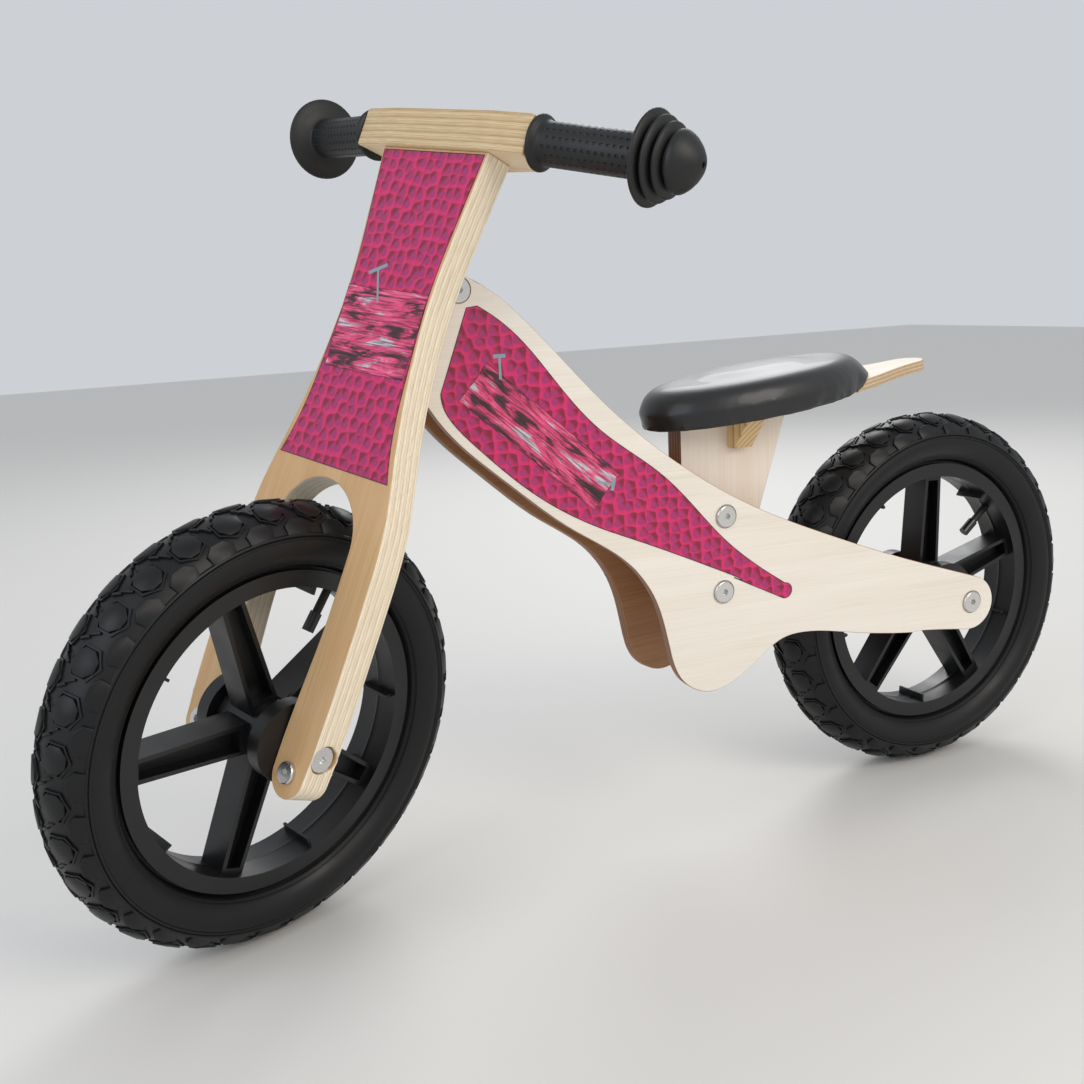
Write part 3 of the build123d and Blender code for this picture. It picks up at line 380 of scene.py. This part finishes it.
def makePiece(name, bm, materials, body, replaced=(), sharp=35):
    mesh = bpy.data.meshes.new(name)
    bm.to_mesh(mesh)
    bm.free()
    for material in materials:
        mesh.materials.append(material)
    mesh.polygons.foreach_set("use_smooth", [True] * len(mesh.polygons))
    mesh.set_sharp_from_angle(angle=math.radians(sharp))
    piece = bpy.data.objects.new(name, mesh)
    bpy.context.scene.collection.objects.link(piece)
    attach(piece, body)
    if replaced:
        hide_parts(*replaced)
    return piece


def cadCopy(node):
    bm = bmesh.new()
    bm.from_mesh(nodes[node].data)
    bmesh.ops.remove_doubles(bm, verts=bm.verts, dist=0.00002)
    bmesh.ops.dissolve_limit(bm, angle_limit=math.radians(0.4), verts=bm.verts, edges=bm.edges)
    return bm


def softened(node, name, width, materials, body, keepSharp=(), angle=32, clamp=False):
    # the CAD shape with its edges rounded over; keepSharp is points with a radius that are left alone
    bm = cadCopy(node)
    edges = []
    for edge in bm.edges:
        if len(edge.link_faces) != 2 or edge.calc_face_angle() < math.radians(angle):
            continue
        middle = (edge.verts[0].co + edge.verts[1].co) / 2
        if any((middle - point).cross(line).length < radius for point, line, radius in keepSharp):
            continue
        edges.append(edge)
    bmesh.ops.bevel(bm, geom=edges, offset=width * mm, offset_type="OFFSET", segments=2, profile=0.5,
                    affect="EDGES", material=-1, clamp_overlap=clamp)
    piece = makePiece(name, bm, materials, body, [node])
    weighted = piece.modifiers.new("weightedNormals", "WEIGHTED_NORMAL")
    weighted.keep_sharp = True
    return piece


def arcThrough(start, middle, end):
    # centre, radius, and the two end angles of the arc through three points
    (ax, ay), (bx, by), (cx, cy) = start, middle, end
    d = 2 * (ax * (by - cy) + bx * (cy - ay) + cx * (ay - by))
    ux = ((ax * ax + ay * ay) * (by - cy) + (bx * bx + by * by) * (cy - ay) + (cx * cx + cy * cy) * (ay - by)) / d
    uy = ((ax * ax + ay * ay) * (cx - bx) + (bx * bx + by * by) * (ax - cx) + (cx * cx + cy * cy) * (bx - ax)) / d
    radius = math.hypot(ax - ux, ay - uy)
    return (ux, uy), radius, math.atan2(ay - uy, ax - ux), math.atan2(cy - uy, cx - ux)


# wooden pieces

panelBolts = [(0, 156, 16), (236, 257, 12), (239, 198, 12), (438.8, 436, 12)]
keepSharp = [(bikeOrigin + Vector((x * mm, 0, z * mm)), leftward, radius * mm) for x, z, radius in panelBolts]
for side, word in bothSides:
    softened(f"{word}_side_panel", f"{word}PanelBoard", 0.9, [birchPly[side]], "frame", keepSharp)
softened("fork_board", "forkBoard", 1.0, [forkPly], "steering")
softened("handlebar_block", "handlebarBoard", 1.2, [barPly], "steering")
softened("seat_post", "seatPostBoard", 0.8, [postPly], "frame")
softened("seat_board", "seatBoardPly", 0.8, [seatPly], "frame")
for side, word in bothSides:
    softened(f"{word}_seat_gusset", f"{word}SeatGusset", 0.6, [pine], "frame")
    softened(f"{word}_post_packer", f"{word}PostPacker", 0.6, [pine], "frame")
print("wood softened")


# film with its dark printed outline, in millimetres

printEdge = dict(filmOutline=0.55, boardOutline=0.35, raggedSide=0.45, raggedEnd=0.8, columns=24, rows=6)
nailShape = dict(headWidth=2.6, shankWidth=1.8, overlap=0.02, columns=4)


def filmPiece(node, name, vinyl, body, place):
    bm = cadCopy(node)
    normal = place.col[2].to_3d()
    tops = [face for face in bm.faces if abs(face.normal.dot(normal)) > 0.99]
    highest = max(abs((place.inverted() @ face.calc_center_median()).z) for face in tops)
    tops = [face for face in tops if abs((place.inverted() @ face.calc_center_median()).z) > highest - 0.0001]
    ring = bmesh.ops.inset_region(bm, faces=tops, thickness=printEdge["filmOutline"] * mm,
                                    use_even_offset=True)
    for face in ring["faces"]:
        face.material_index = 1
    return makePiece(name, bm, [vinyl, outlineInk], body, [node])


for side, word in bothSides:
    filmPiece(f"{word}_panel_sticker", f"{word}PanelFilm", panelVinyl[side], "frame", panelPlace[side])
filmPiece("fork_sticker", "forkFilm", forkVinyl, "steering", forkFacePlace)


def printedBoard(name, body, place, finish):
    # a thin printed patch with a slightly ragged outline, in millimetres on a face
    draw = random.Random(finish["seed"])
    bm = bmesh.new()
    long, high = finish["size"]
    bmesh.ops.create_grid(bm, x_segments=printEdge["columns"], y_segments=printEdge["rows"], size=0.5)
    bmesh.ops.scale(bm, vec=(long, high, 1), verts=bm.verts)
    for vertex in bm.verts:
        if abs(abs(vertex.co.y) - high / 2) < 0.01:
            vertex.co.y += draw.uniform(-printEdge["raggedSide"], printEdge["raggedSide"])
        if abs(abs(vertex.co.x) - long / 2) < 0.01:
            vertex.co.x += draw.uniform(-printEdge["raggedEnd"], printEdge["raggedEnd"])
    extruded = bmesh.ops.extrude_face_region(bm, geom=bm.faces[:])
    bmesh.ops.translate(bm, vec=(0, 0, finish["film"]), verts=[
        part for part in extruded["geom"] if isinstance(part, bmesh.types.BMVert)])
    lean = Matrix.Translation((*finish["centre"], finish["depth"])) @ Matrix.Rotation(finish["lean"], 4, "Z")
    local = place @ Matrix.Scale(mm, 4) @ lean
    bmesh.ops.transform(bm, matrix=local, verts=bm.verts)
    bmesh.ops.recalc_face_normals(bm, faces=bm.faces)
    outward = place.col[2].to_3d() * (1 if finish["film"] > 0 else -1)
    tops = [face for face in bm.faces if face.normal.dot(outward) > 0.9]
    edge = bmesh.ops.inset_region(bm, faces=tops, thickness=printEdge["boardOutline"] * mm, use_even_offset=True)
    for face in edge["faces"]:
        face.material_index = 1
    middle = Matrix.Translation(Vector((*finish["centre"], finish["depth"])) * mm)
    inkPlace = place @ middle @ Matrix.Rotation(finish["lean"], 4, "Z")
    return makePiece(name, bm, [plankInk(name + "Ink", inkPlace), outlineInk], body)


def printedNail(name, body, place, finish):
    # a flat picture of a nail: a bar for the head and a narrower one for the shank
    bm = bmesh.new()
    head, shank = finish["head"], finish["shank"]
    for length, width, turn, shift in ((head, nailShape["headWidth"], 0, 0),
                                       (shank, nailShape["shankWidth"], math.pi / 2, -shank / 2)):
        made = bmesh.ops.create_grid(bm, x_segments=nailShape["columns"], y_segments=1, size=0.5)
        bmesh.ops.scale(bm, vec=(length, width, 1), verts=made["verts"])
        bmesh.ops.rotate(bm, cent=(0, 0, 0), matrix=Matrix.Rotation(turn, 3, "Z"), verts=made["verts"])
        bmesh.ops.translate(bm, vec=(0, shift, nailShape["overlap"] if turn else 0.0),
                            verts=made["verts"])
    extruded = bmesh.ops.extrude_face_region(bm, geom=bm.faces[:])
    bmesh.ops.translate(bm, vec=(0, 0, finish["film"]), verts=[
        part for part in extruded["geom"] if isinstance(part, bmesh.types.BMVert)])
    local = place @ Matrix.Scale(mm, 4) @ Matrix.Translation((*finish["centre"], finish["depth"]))
    bmesh.ops.transform(bm, matrix=local @ Matrix.Rotation(finish["lean"], 4, "Z"), verts=bm.verts)
    bmesh.ops.recalc_face_normals(bm, faces=bm.faces)
    return makePiece(name, bm, [nailInk], body)


boardPrint = {}
nailPrint = {}
for side, word in bothSides:
    onPanel = dict(body="frame", place=panelPlace[side])
    boardPrint[f"{word}PanelBoardPrint"] = dict(
        onPanel, centre=(384.0, 330.0), depth=-side * 9.34, film=-side * 0.06, size=(131.0, 33.0),
        lean=math.radians(41.5), seed=3 if side > 0 else 4)
    onPanel.update(depth=-side * 9.44, film=-side * 0.05, head=9.0)
    nailPrint[f"{word}UpperNailPrint"] = dict(onPanel, centre=(413.0, 390.0), shank=16.0, lean=0.0)
    nailPrint[f"{word}LowerNailPrint"] = dict(onPanel, centre=(330.0, 291.5), shank=13.0, lean=math.radians(105))
boardPrint["forkBoardPrint"] = dict(
    body="steering", place=forkFacePlace, centre=(0.0, 275.0), depth=11.34, film=0.06, size=(82.0, 58.0),
    lean=math.radians(1.5), seed=5)
nailPrint["forkNailPrint"] = dict(
    body="steering", place=forkFacePlace, centre=(-16.5, 316.5), depth=11.44, film=0.05, head=18.0, shank=24.0,
    lean=math.radians(24))
for name, finish in boardPrint.items():
    printedBoard(name, finish["body"], finish["place"], finish)
for name, finish in nailPrint.items():
    printedNail(name, finish["body"], finish["place"], finish)
print("film printed")


# tyres: the carcass is spun, and the tread pads are wrapped onto it

tyre = dict(radius=156.0, halfWidth=28.0, belly=132.0, shoulder=(149.0, 20.7), bead=(114.0, 14.0), wall=4.0,
            floorDrop=2.3, pitchCount=32, padAcross=12.6, padRadius=9.6, webRadius=12.2, lugCentre=27.5,
            steps=160)
crownShares = (0.0, 0.25, 0.5, 0.8, 1.0)
wallProfile = ((0.08, -2.3), (0.17, -2.0), (0.24, -1.6), (0.262, -0.2), (0.28, 0.0), (0.298, -0.5), (0.305, -1.1),
               (0.315, -0.5), (0.33, -0.1), (0.352, -0.4), (0.36, -1.0), (0.40, -0.55), (0.48, -0.1), (0.56, 0.0),
               (0.64, 0.0), (0.72, 0.0), (0.79, -0.2), (0.80, -0.9), (0.815, -0.9), (0.825, -0.3), (0.87, 0.0),
               (0.90, -0.4), (0.91, -1.1), (0.96, -1.0), (1.0, -0.6))
beadToe = ((108.2, 13.9), (108.2, 10.2))
tread = dict(sunk=1.0, padRise=0.9, padCut=0.7, webWidth=1.5, webDrop=0.1, lugRise=0.5, lugCut=0.6, barRise=0.2,
             barCut=0.35, barLean=math.radians(62), barStep=2.4, innerBar=2.6, outerBar=8.6)
lugOutline = [(-9.5, 6.5), (-10.5, -1.0), (-4.5, -5.6), (4.5, -5.6), (10.5, -1.0), (9.5, 6.5)]
barOutline = [(-3.6, -1.0), (3.6, -1.0), (3.6, 1.0), (-3.6, 1.0)]
crownCentre, crownRadius, crownStart = arcThrough(
    tyre["shoulder"], (tyre["radius"], 0.0), (tyre["shoulder"][0], -tyre["shoulder"][1]))[:3]
sideCentre, sideRadius, sideStart, sideEnd = arcThrough(
    tyre["shoulder"], (tyre["belly"], tyre["halfWidth"]), tyre["bead"])
crownReach = abs(crownStart) * crownRadius
sideReach = abs(sideEnd - sideStart) * sideRadius


def onTyre(around, across, lift):
    # a point of the tyre: distances along and across the tread from a pad's middle line, and height off the surface
    side = -1 if across < 0 else 1
    if abs(across) <= crownReach:
        angle = abs(across) / crownRadius
        centre, reach = crownCentre, crownRadius + lift
    else:
        angle = sideStart + (abs(across) - crownReach) / sideRadius
        centre, reach = sideCentre, sideRadius + lift
    radius = centre[0] + reach * math.cos(angle)
    y = side * (centre[1] + reach * math.sin(angle))
    turn = around / tyre["radius"]
    return Vector((radius * math.cos(turn), y, radius * math.sin(turn))) * mm


def padShape(corners, radius, height, cut):
    # one rubber pad standing on its base, in millimetres
    bm = bmesh.new()
    bmesh.ops.create_circle(bm, cap_ends=True, cap_tris=True, segments=corners, radius=radius)
    made = bmesh.ops.extrude_face_region(bm, geom=bm.faces[:])
    top = [part for part in made["geom"] if isinstance(part, bmesh.types.BMVert)]
    bmesh.ops.translate(bm, vec=(0, 0, height), verts=top)
    rim = [edge for edge in bm.edges if all(v.co.z > height * 0.9 and v.co.xy.length > radius * 0.5
                                            for v in edge.verts)]
    bmesh.ops.bevel(bm, geom=rim, offset=cut, segments=2, profile=0.5, affect="EDGES", material=-1)
    return bm


def ringShape(corners, radius, width, height):
    # a raised web round a pad
    bm = bmesh.new()
    bmesh.ops.create_circle(bm, cap_ends=False, segments=corners, radius=radius)
    made = bmesh.ops.extrude_edge_only(bm, edges=bm.edges[:])
    inside = [part for part in made["geom"] if isinstance(part, bmesh.types.BMVert)]
    share = 1 - width / radius
    bmesh.ops.scale(bm, vec=(share, share, 1), verts=inside)
    made = bmesh.ops.extrude_face_region(bm, geom=bm.faces[:])
    top = [part for part in made["geom"] if isinstance(part, bmesh.types.BMVert)]
    bmesh.ops.translate(bm, vec=(0, 0, height), verts=top)
    bmesh.ops.subdivide_edges(bm, edges=[edge for edge in bm.edges if edge.calc_length() > 6], cuts=1)
    return bm


def lugShape(outline, height, cut):
    # a flat-topped lug with the given outline
    bm = bmesh.new()
    corners = [bm.verts.new((x, y, 0)) for x, y in outline]
    bm.faces.new(corners)
    made = bmesh.ops.extrude_face_region(bm, geom=bm.faces[:])
    top = [part for part in made["geom"] if isinstance(part, bmesh.types.BMVert)]
    bmesh.ops.translate(bm, vec=(0, 0, height), verts=top)
    rim = [edge for edge in bm.edges if all(v.co.z > height * 0.9 for v in edge.verts)]
    bmesh.ops.bevel(bm, geom=rim, offset=cut, segments=2, profile=0.5, affect="EDGES", material=-1)
    bmesh.ops.subdivide_edges(bm, edges=[edge for edge in bm.edges if edge.calc_length() > 6], cuts=2)
    return bm


def tyrePiece(name, body, node, place):
    bm = bmesh.new()
    floor = tyre["floorDrop"]
    outside = [(crownReach * share, -floor) for share in crownShares]
    outside += [(crownReach + sideReach * share, lift) for share, lift in wallProfile]
    wall = tyre["wall"]
    half = [onTyre(0, distance, lift) for distance, lift in outside]
    inner = [onTyre(0, distance, -wall - floor) for distance, lift in reversed(outside[::3])]
    loop = half + [Vector((radius, y, 0)) * mm for radius, y in beadToe] + inner
    mirrorLoop = [Vector((point.x, -point.y, point.z)) for point in reversed(loop)]
    points = [point for point in mirrorLoop if point.y < -0.00001] + [half[0]] + [
        point for point in loop if point.y > 0.00001]
    points.append(inner[-1])
    verts = [bm.verts.new(point) for point in points]
    edges = [bm.edges.new((verts[i], verts[(i + 1) % len(verts)])) for i in range(len(verts))]
    bmesh.ops.spin(bm, geom=verts + edges, cent=(0, 0, 0), axis=(0, 1, 0), dvec=(0, 0, 0),
                   angle=math.tau, steps=tyre["steps"], use_merge=True, use_duplicate=False)
    bmesh.ops.remove_doubles(bm, verts=bm.verts, dist=0.000001)
    bmesh.ops.recalc_face_normals(bm, faces=bm.faces)

    pitch = math.tau * tyre["radius"] / tyre["pitchCount"]
    pad = padShape(8, tyre["padRadius"], floor + tread["padRise"], tread["padCut"])
    web = ringShape(6, tyre["webRadius"], tread["webWidth"], floor - tread["webDrop"])
    lug = lugShape(lugOutline, floor + tread["lugRise"], tread["lugCut"])
    bar = lugShape(barOutline, floor + tread["barRise"], tread["barCut"])
    shapes = []
    for number, source in enumerate((bm, pad, web, lug, bar)):
        mesh = bpy.data.meshes.new(f"treadShape{number}")
        source.to_mesh(mesh)
        source.free()
        shapes.append(mesh)
    carcassMesh, padMesh, webMesh, lugMesh, barMesh = shapes
    bm = bmesh.new()
    bm.from_mesh(carcassMesh)
    placements = []
    for number in range(tyre["pitchCount"]):
        for side in (1, -1):
            here = pitch * (number + (0.0 if side > 0 else 0.5))
            between = here + pitch / 2
            placements.append((padMesh, here, side * tyre["padAcross"], math.radians(22.5)))
            placements.append((webMesh, here, side * tyre["padAcross"], 0.0))
            placements.append((lugMesh, between, side * tyre["lugCentre"], 0.0 if side > 0 else math.pi))
            for step, away in ((-tread["barStep"], tread["innerBar"]), (tread["barStep"], tread["outerBar"])):
                placements.append((barMesh, between + step, side * away, side * tread["barLean"]))
    for mesh, around, across, turn in placements:
        first = len(bm.verts)
        bm.from_mesh(mesh)
        bm.verts.ensure_lookup_table()
        cosine, sine = math.cos(turn), math.sin(turn)
        for vertex in bm.verts[first:]:
            x, y, z = vertex.co
            vertex.co = onTyre(around + x * cosine - y * sine, across + x * sine + y * cosine,
                               z - floor - tread["sunk"])
    for mesh in shapes:
        bpy.data.meshes.remove(mesh)
    bmesh.ops.transform(bm, matrix=place, verts=bm.verts)
    return makePiece(name, bm, [tyreRubber], body, [node], sharp=32)


rearWheelPlace = Matrix.Translation(Vector(joints["rear_wheel_spin"]["pos_m"]))
tyrePiece("frontTyre", "front_wheel", "front_tyre", forkPlace)
tyrePiece("rearTyre", "rear_wheel", "rear_tyre", rearWheelPlace)
for word in ("front", "rear"):
    softened(f"{word}_rim", f"{word}Rim", 0.7, [rimNylon], f"{word}_wheel", clamp=True)
print("wheels made")


# grips

grip = dict(steps=48, sleeveRadius=14.0, sleeveStart=8.0, sleeveEnd=77.0, sleeveRings=28, tilt=math.radians(10),
            innerRadius=12.0, barHalf=79.0, barMiddle=-3.0, barLift=415.5, dimple=0.6, dimpleMargin=0.42,
            discs=3, discRadius=29.0, discStep=3.2, discStart=81.8, discPitch=6.2)

# radius and height along the grip: the inner flange, the neck, one bumper disc from its own edge, and the end
flangeProfile = [(10.3, 0.4), (16.6, 0.4), (17.6, 1.0), (18.0, 2.2), (17.7, 3.4), (16.6, 4.3), (15.4, 4.8),
                 (14.5, 5.8), (14.05, 7.2)]
neckProfile = [(14.4, 78.2), (15.6, 79.3), (22.0, 80.6)]
discProfile = [(-0.8, 0.0), (0.0, 0.8), (0.0, 2.0), (-0.8, 2.8), (-7.0, 4.3), (-7.4, 5.3)]
endProfile = [(18.6, 100.6), (19.0, 101.5), (19.0, 103.4), (18.2, 105.2), (16.0, 108.4), (12.5, 112.0),
              (8.5, 115.0), (5.0, 116.8), (2.4, 117.6), (2.0, 117.4), (1.8, 116.8), (1.7, 115.0), (0.0, 114.8)]


def gripPlace(side):
    start = Matrix.Translation(Vector((grip["barMiddle"], side * grip["barHalf"], grip["barLift"])) * mm)
    return (forkPlace @ start @ Matrix.Rotation(side * grip["tilt"], 4, "Z")
            @ Matrix.Rotation(-side * math.pi / 2, 4, "X"))


def gripPiece(name, node, side):
    start, end, rings = grip["sleeveStart"], grip["sleeveEnd"], grip["sleeveRings"]
    step = (end - start) / rings
    profile = flangeProfile + [(grip["sleeveRadius"], start + (end - start) * number / rings)
                               for number in range(rings + 1)] + neckProfile
    for number in range(grip["discs"]):
        edge = grip["discRadius"] - grip["discStep"] * number
        floor = grip["discStart"] + grip["discPitch"] * number
        profile += [(edge + inward, floor + rise) for inward, rise in discProfile]
    profile += endProfile
    bm = bmesh.new()
    verts = [bm.verts.new((radius, 0, height)) for radius, height in profile]
    edges = [bm.edges.new(pair) for pair in zip(verts, verts[1:])]
    bmesh.ops.spin(bm, geom=verts + edges, cent=(0, 0, 0), axis=(0, 0, 1), dvec=(0, 0, 0),
                   angle=math.tau, steps=grip["steps"], use_merge=True, use_duplicate=False)
    bmesh.ops.remove_doubles(bm, verts=bm.verts, dist=0.001)
    bmesh.ops.holes_fill(bm, edges=[edge for edge in bm.edges if edge.is_boundary], sides=0)
    bmesh.ops.recalc_face_normals(bm, faces=bm.faces)
    dimples = []
    for face in bm.faces:
        middle = face.calc_center_median()
        if not start + step < middle.z < end - step or middle.xy.length < grip["innerRadius"]:
            continue
        row = round((math.atan2(middle.y, middle.x) % math.tau) / (math.tau / grip["steps"]) - 0.5)
        column = int((middle.z - start) / step)
        if row % 3 == 0 and column % 2 == (row // 3) % 2:
            dimples.append(face)
    bmesh.ops.inset_individual(bm, faces=dimples, thickness=grip["dimpleMargin"], depth=-grip["dimple"],
                               use_even_offset=True)
    bmesh.ops.transform(bm, matrix=gripPlace(side) @ Matrix.Scale(mm, 4), verts=bm.verts)
    return makePiece(name, bm, [gripRubber], "steering", [node], sharp=50)


for side, word in bothSides:
    gripPiece(f"{word}Grip", f"{word}_grip", side)
print("grips made")


# seat cushion

cushion = dict(share=0.95, lower=0.9, voxel=3.6, rounds=14, pressure=3.0, frames=20, cap=6.0, foot=2.0, near=3.2,
               gap=0.5, puckers=24, puckerDepth=0.8, puckerHeight=13.0, roundness=1.7, halfWidth=63.0,
               crownFrom=12.0, crownRounds=24)


def settle(piece):
    # applies what the modifiers make of the piece
    view = bpy.context.evaluated_depsgraph_get()
    made = bpy.data.meshes.new_from_object(piece.evaluated_get(view))
    old = piece.data
    piece.modifiers.clear()
    piece.data = made
    bpy.data.meshes.remove(old)
    made.name = piece.name


def cushionPiece():
    # the cover is inflated over the seat board with its drawn-down lip held, then pulled into light puckers
    toSeat = seatPlace.inverted()
    bm = cadCopy("seat_cushion")
    bmesh.ops.transform(bm, matrix=toSeat, verts=bm.verts)
    mesh = bpy.data.meshes.new("seatCushion")
    bm.to_mesh(mesh)
    bm.free()
    xs = [vertex.co.x for vertex in mesh.vertices]
    middle = Vector(((max(xs) + min(xs)) / 2, 0, 0))
    height = max(vertex.co.z for vertex in mesh.vertices)
    mesh.transform(Matrix.Translation(-middle))
    piece = bpy.data.objects.new("seatCushion", mesh)
    bpy.context.scene.collection.objects.link(piece)
    remesh = piece.modifiers.new("evenSkin", "REMESH")
    remesh.mode, remesh.voxel_size = "VOXEL", cushion["voxel"] * mm
    settle(piece)

    board = bmesh.new()
    board.from_mesh(nodes["seat_board"].data)
    bmesh.ops.transform(board, matrix=Matrix.Translation(-middle) @ toSeat, verts=board.verts)
    boardSkin = BVHTree.FromBMesh(board)
    board.free()
    held = {}
    for vertex in piece.data.vertices:
        point, normal, index, distance = boardSkin.find_nearest(vertex.co)
        if distance < cushion["near"] * mm:
            held[vertex.index] = point + normal * cushion["gap"] * mm
        elif vertex.co.z < cushion["foot"] * mm:
            held[vertex.index] = vertex.co.copy()
    bm = bmesh.new()
    bm.from_mesh(piece.data)
    bm.verts.ensure_lookup_table()
    loose = [vertex for vertex in bm.verts if vertex.index not in held]
    for vertex in loose:
        vertex.co = Vector((vertex.co.x * cushion["share"], vertex.co.y * cushion["share"],
                            vertex.co.z * cushion["lower"]))
    for number in range(cushion["rounds"]):
        bmesh.ops.smooth_vert(bm, verts=loose, factor=0.5, use_axis_x=True, use_axis_y=True, use_axis_z=True)
    for index, point in held.items():
        bm.verts[index].co = point
    bm.to_mesh(piece.data)
    bm.free()

    before = [vertex.co.copy() for vertex in piece.data.vertices]
    pinned = piece.vertex_groups.new(name="boardSide")
    pinned.add(list(held), 1.0, "REPLACE")
    cloth = piece.modifiers.new("padding", "CLOTH")
    cloth.settings.use_pressure = True
    cloth.settings.uniform_pressure_force = cushion["pressure"]
    cloth.settings.effector_weights.gravity = 0.0
    cloth.settings.vertex_group_mass = pinned.name
    cloth.settings.quality = 6
    cloth.settings.mass = 0.3
    cloth.point_cache.frame_start, cloth.point_cache.frame_end = 1, cushion["frames"]
    for step in range(1, cushion["frames"] + 1):
        bpy.context.scene.frame_set(step)
    settle(piece)
    bpy.context.scene.frame_set(1)
    for vertex, start in zip(piece.data.vertices, before):
        moved = vertex.co - start
        if moved.length > cushion["cap"] * mm:
            vertex.co = start + moved.normalized() * cushion["cap"] * mm
    bm = bmesh.new()
    bm.from_mesh(piece.data)
    crown = [vertex for vertex in bm.verts if vertex.co.z > cushion["crownFrom"] * mm and vertex.index not in held]
    for number in range(cushion["crownRounds"]):
        bmesh.ops.smooth_vert(bm, verts=crown, factor=0.5, use_axis_x=True, use_axis_y=True, use_axis_z=True)
    bm.to_mesh(piece.data)
    bm.free()
    top = max(vertex.co.z for vertex in piece.data.vertices)
    for vertex in piece.data.vertices:
        if vertex.index in held:
            continue
        point = vertex.co
        around = math.atan2(point.y * cushion["roundness"], point.x)
        lowShare = max(0.0, 1.0 - max(point.z, 0.0) / (cushion["puckerHeight"] * mm))
        wave = 0.5 + 0.5 * math.cos(around * cushion["puckers"])
        pull = 1.0 - lowShare * wave * cushion["puckerDepth"] / cushion["halfWidth"]
        vertex.co = Vector((point.x * pull, point.y * pull, max(point.z * height / top, 0.3 * mm)))
    piece.data.transform(seatPlace @ Matrix.Translation(middle))
    piece.data.materials.clear()
    piece.data.materials.append(seatSkin)
    piece.data.polygons.foreach_set("use_smooth", [True] * len(piece.data.polygons))
    smooth = piece.modifiers.new("skin", "SUBSURF")
    smooth.levels = smooth.render_levels = 1
    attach(piece, "frame")
    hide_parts("seat_cushion")


cushionPiece()
print("cushion made")


# CAD pieces that keep their shape

def dress(names, material):
    for name in names:
        for holder in nodes[name].material_slots:
            holder.material = material


dress(["rear_axle", "rear_axle_nut", "post_bolts", "post_nuts", "head_bolts", "head_nuts", "handlebar_bolts",
       "leg_bolts", "leg_nuts", "front_axle", "front_axle_nut", "seat_screws", "bracket_screws"], zincSteel)
dress(["steering_pin", "steering_pin_nut", "front_axle_washers", "left_handlebar_rod", "right_handlebar_rod",
       "front_left_bearing", "front_right_bearing", "rear_left_bearing", "rear_right_bearing"], groundSteel)
dress(["upper_hinge_bracket", "lower_hinge_bracket"], powderCoat)
dress(["upper_steering_bush", "lower_steering_bush"], bushNylon)
dress(["head_block", "head_dowels"], beech)
dress(["front_inner_tube", "rear_inner_tube", "front_valve_stem", "rear_valve_stem"], tubeRubber)
dress(["front_valve_cap", "rear_valve_cap"], capPlastic)
dress(["left_front_disc", "right_front_disc", "left_rear_spacer", "right_rear_spacer"], spacerNylon)
print("fittings dressed")


# stage, lights and camera

def makeStage():
    bm = bmesh.new()
    bmesh.ops.create_grid(bm, x_segments=2, y_segments=2, size=6.0)
    mesh = bpy.data.meshes.new("studioFloor")
    bm.to_mesh(mesh)
    bm.free()
    mesh.materials.append(startMaterial("palePaint", "#dcdad6", 0.6)[0])
    floor = bpy.data.objects.new("studioFloor", mesh)
    bpy.context.scene.collection.objects.link(floor)


def makeLight(name, place, aim, size, power, colour):
    data = bpy.data.lights.new(name, "AREA")
    data.shape, data.size, data.energy, data.color = "DISK", size, power, tint(colour)[:3]
    lamp = bpy.data.objects.new(name, data)
    lamp.location = place
    lamp.rotation_mode = "QUATERNION"
    lamp.rotation_quaternion = (Vector(aim) - Vector(place)).to_track_quat("-Z", "Y")
    bpy.context.scene.collection.objects.link(lamp)


def makeCamera(view):
    yaw, pitch, roll = (math.radians(view[key]) for key in ("yaw", "pitch", "roll"))
    ahead = Vector((math.cos(pitch) * math.cos(yaw), math.cos(pitch) * math.sin(yaw), math.sin(pitch)))
    right = Vector((math.sin(yaw), -math.cos(yaw), 0))
    above = right.cross(ahead)
    cameraX = right * math.cos(roll) + above * math.sin(roll)
    cameraY = above * math.cos(roll) - right * math.sin(roll)
    data = bpy.data.cameras.new("studioCamera")
    data.lens, data.sensor_width = view["lens"], 36
    camera = bpy.data.objects.new("studioCamera", data)
    camera.matrix_world = placeOf(Vector(view["place"]), cameraX, cameraY, -ahead)
    bpy.context.scene.collection.objects.link(camera)
    bpy.context.scene.camera = camera


makeStage()
world = bpy.data.worlds.new("studioWorld")
world.use_nodes = True
world.node_tree.nodes["Background"].inputs["Color"].default_value = tint("#e9edf2")
world.node_tree.nodes["Background"].inputs["Strength"].default_value = 0.75
bpy.context.scene.world = world
makeLight("keyLight", (-0.5, 1.9, 1.5), (0, 0, 0.25), 1.3, 22, "#fff6ea")
makeLight("fillLight", (1.8, 0.6, 1.2), (0, 0, 0.25), 1.5, 12, "#eef3ff")
makeLight("backLight", (-1.2, -1.6, 1.6), (0, 0, 0.3), 1.2, 18, "#ffffff")
makeCamera(dict(place=(0.48712, 0.80519, 0.44022), yaw=-116.86, pitch=-11.93, roll=-2.75, lens=41.22))
bpy.context.scene.view_settings.view_transform = "Standard"
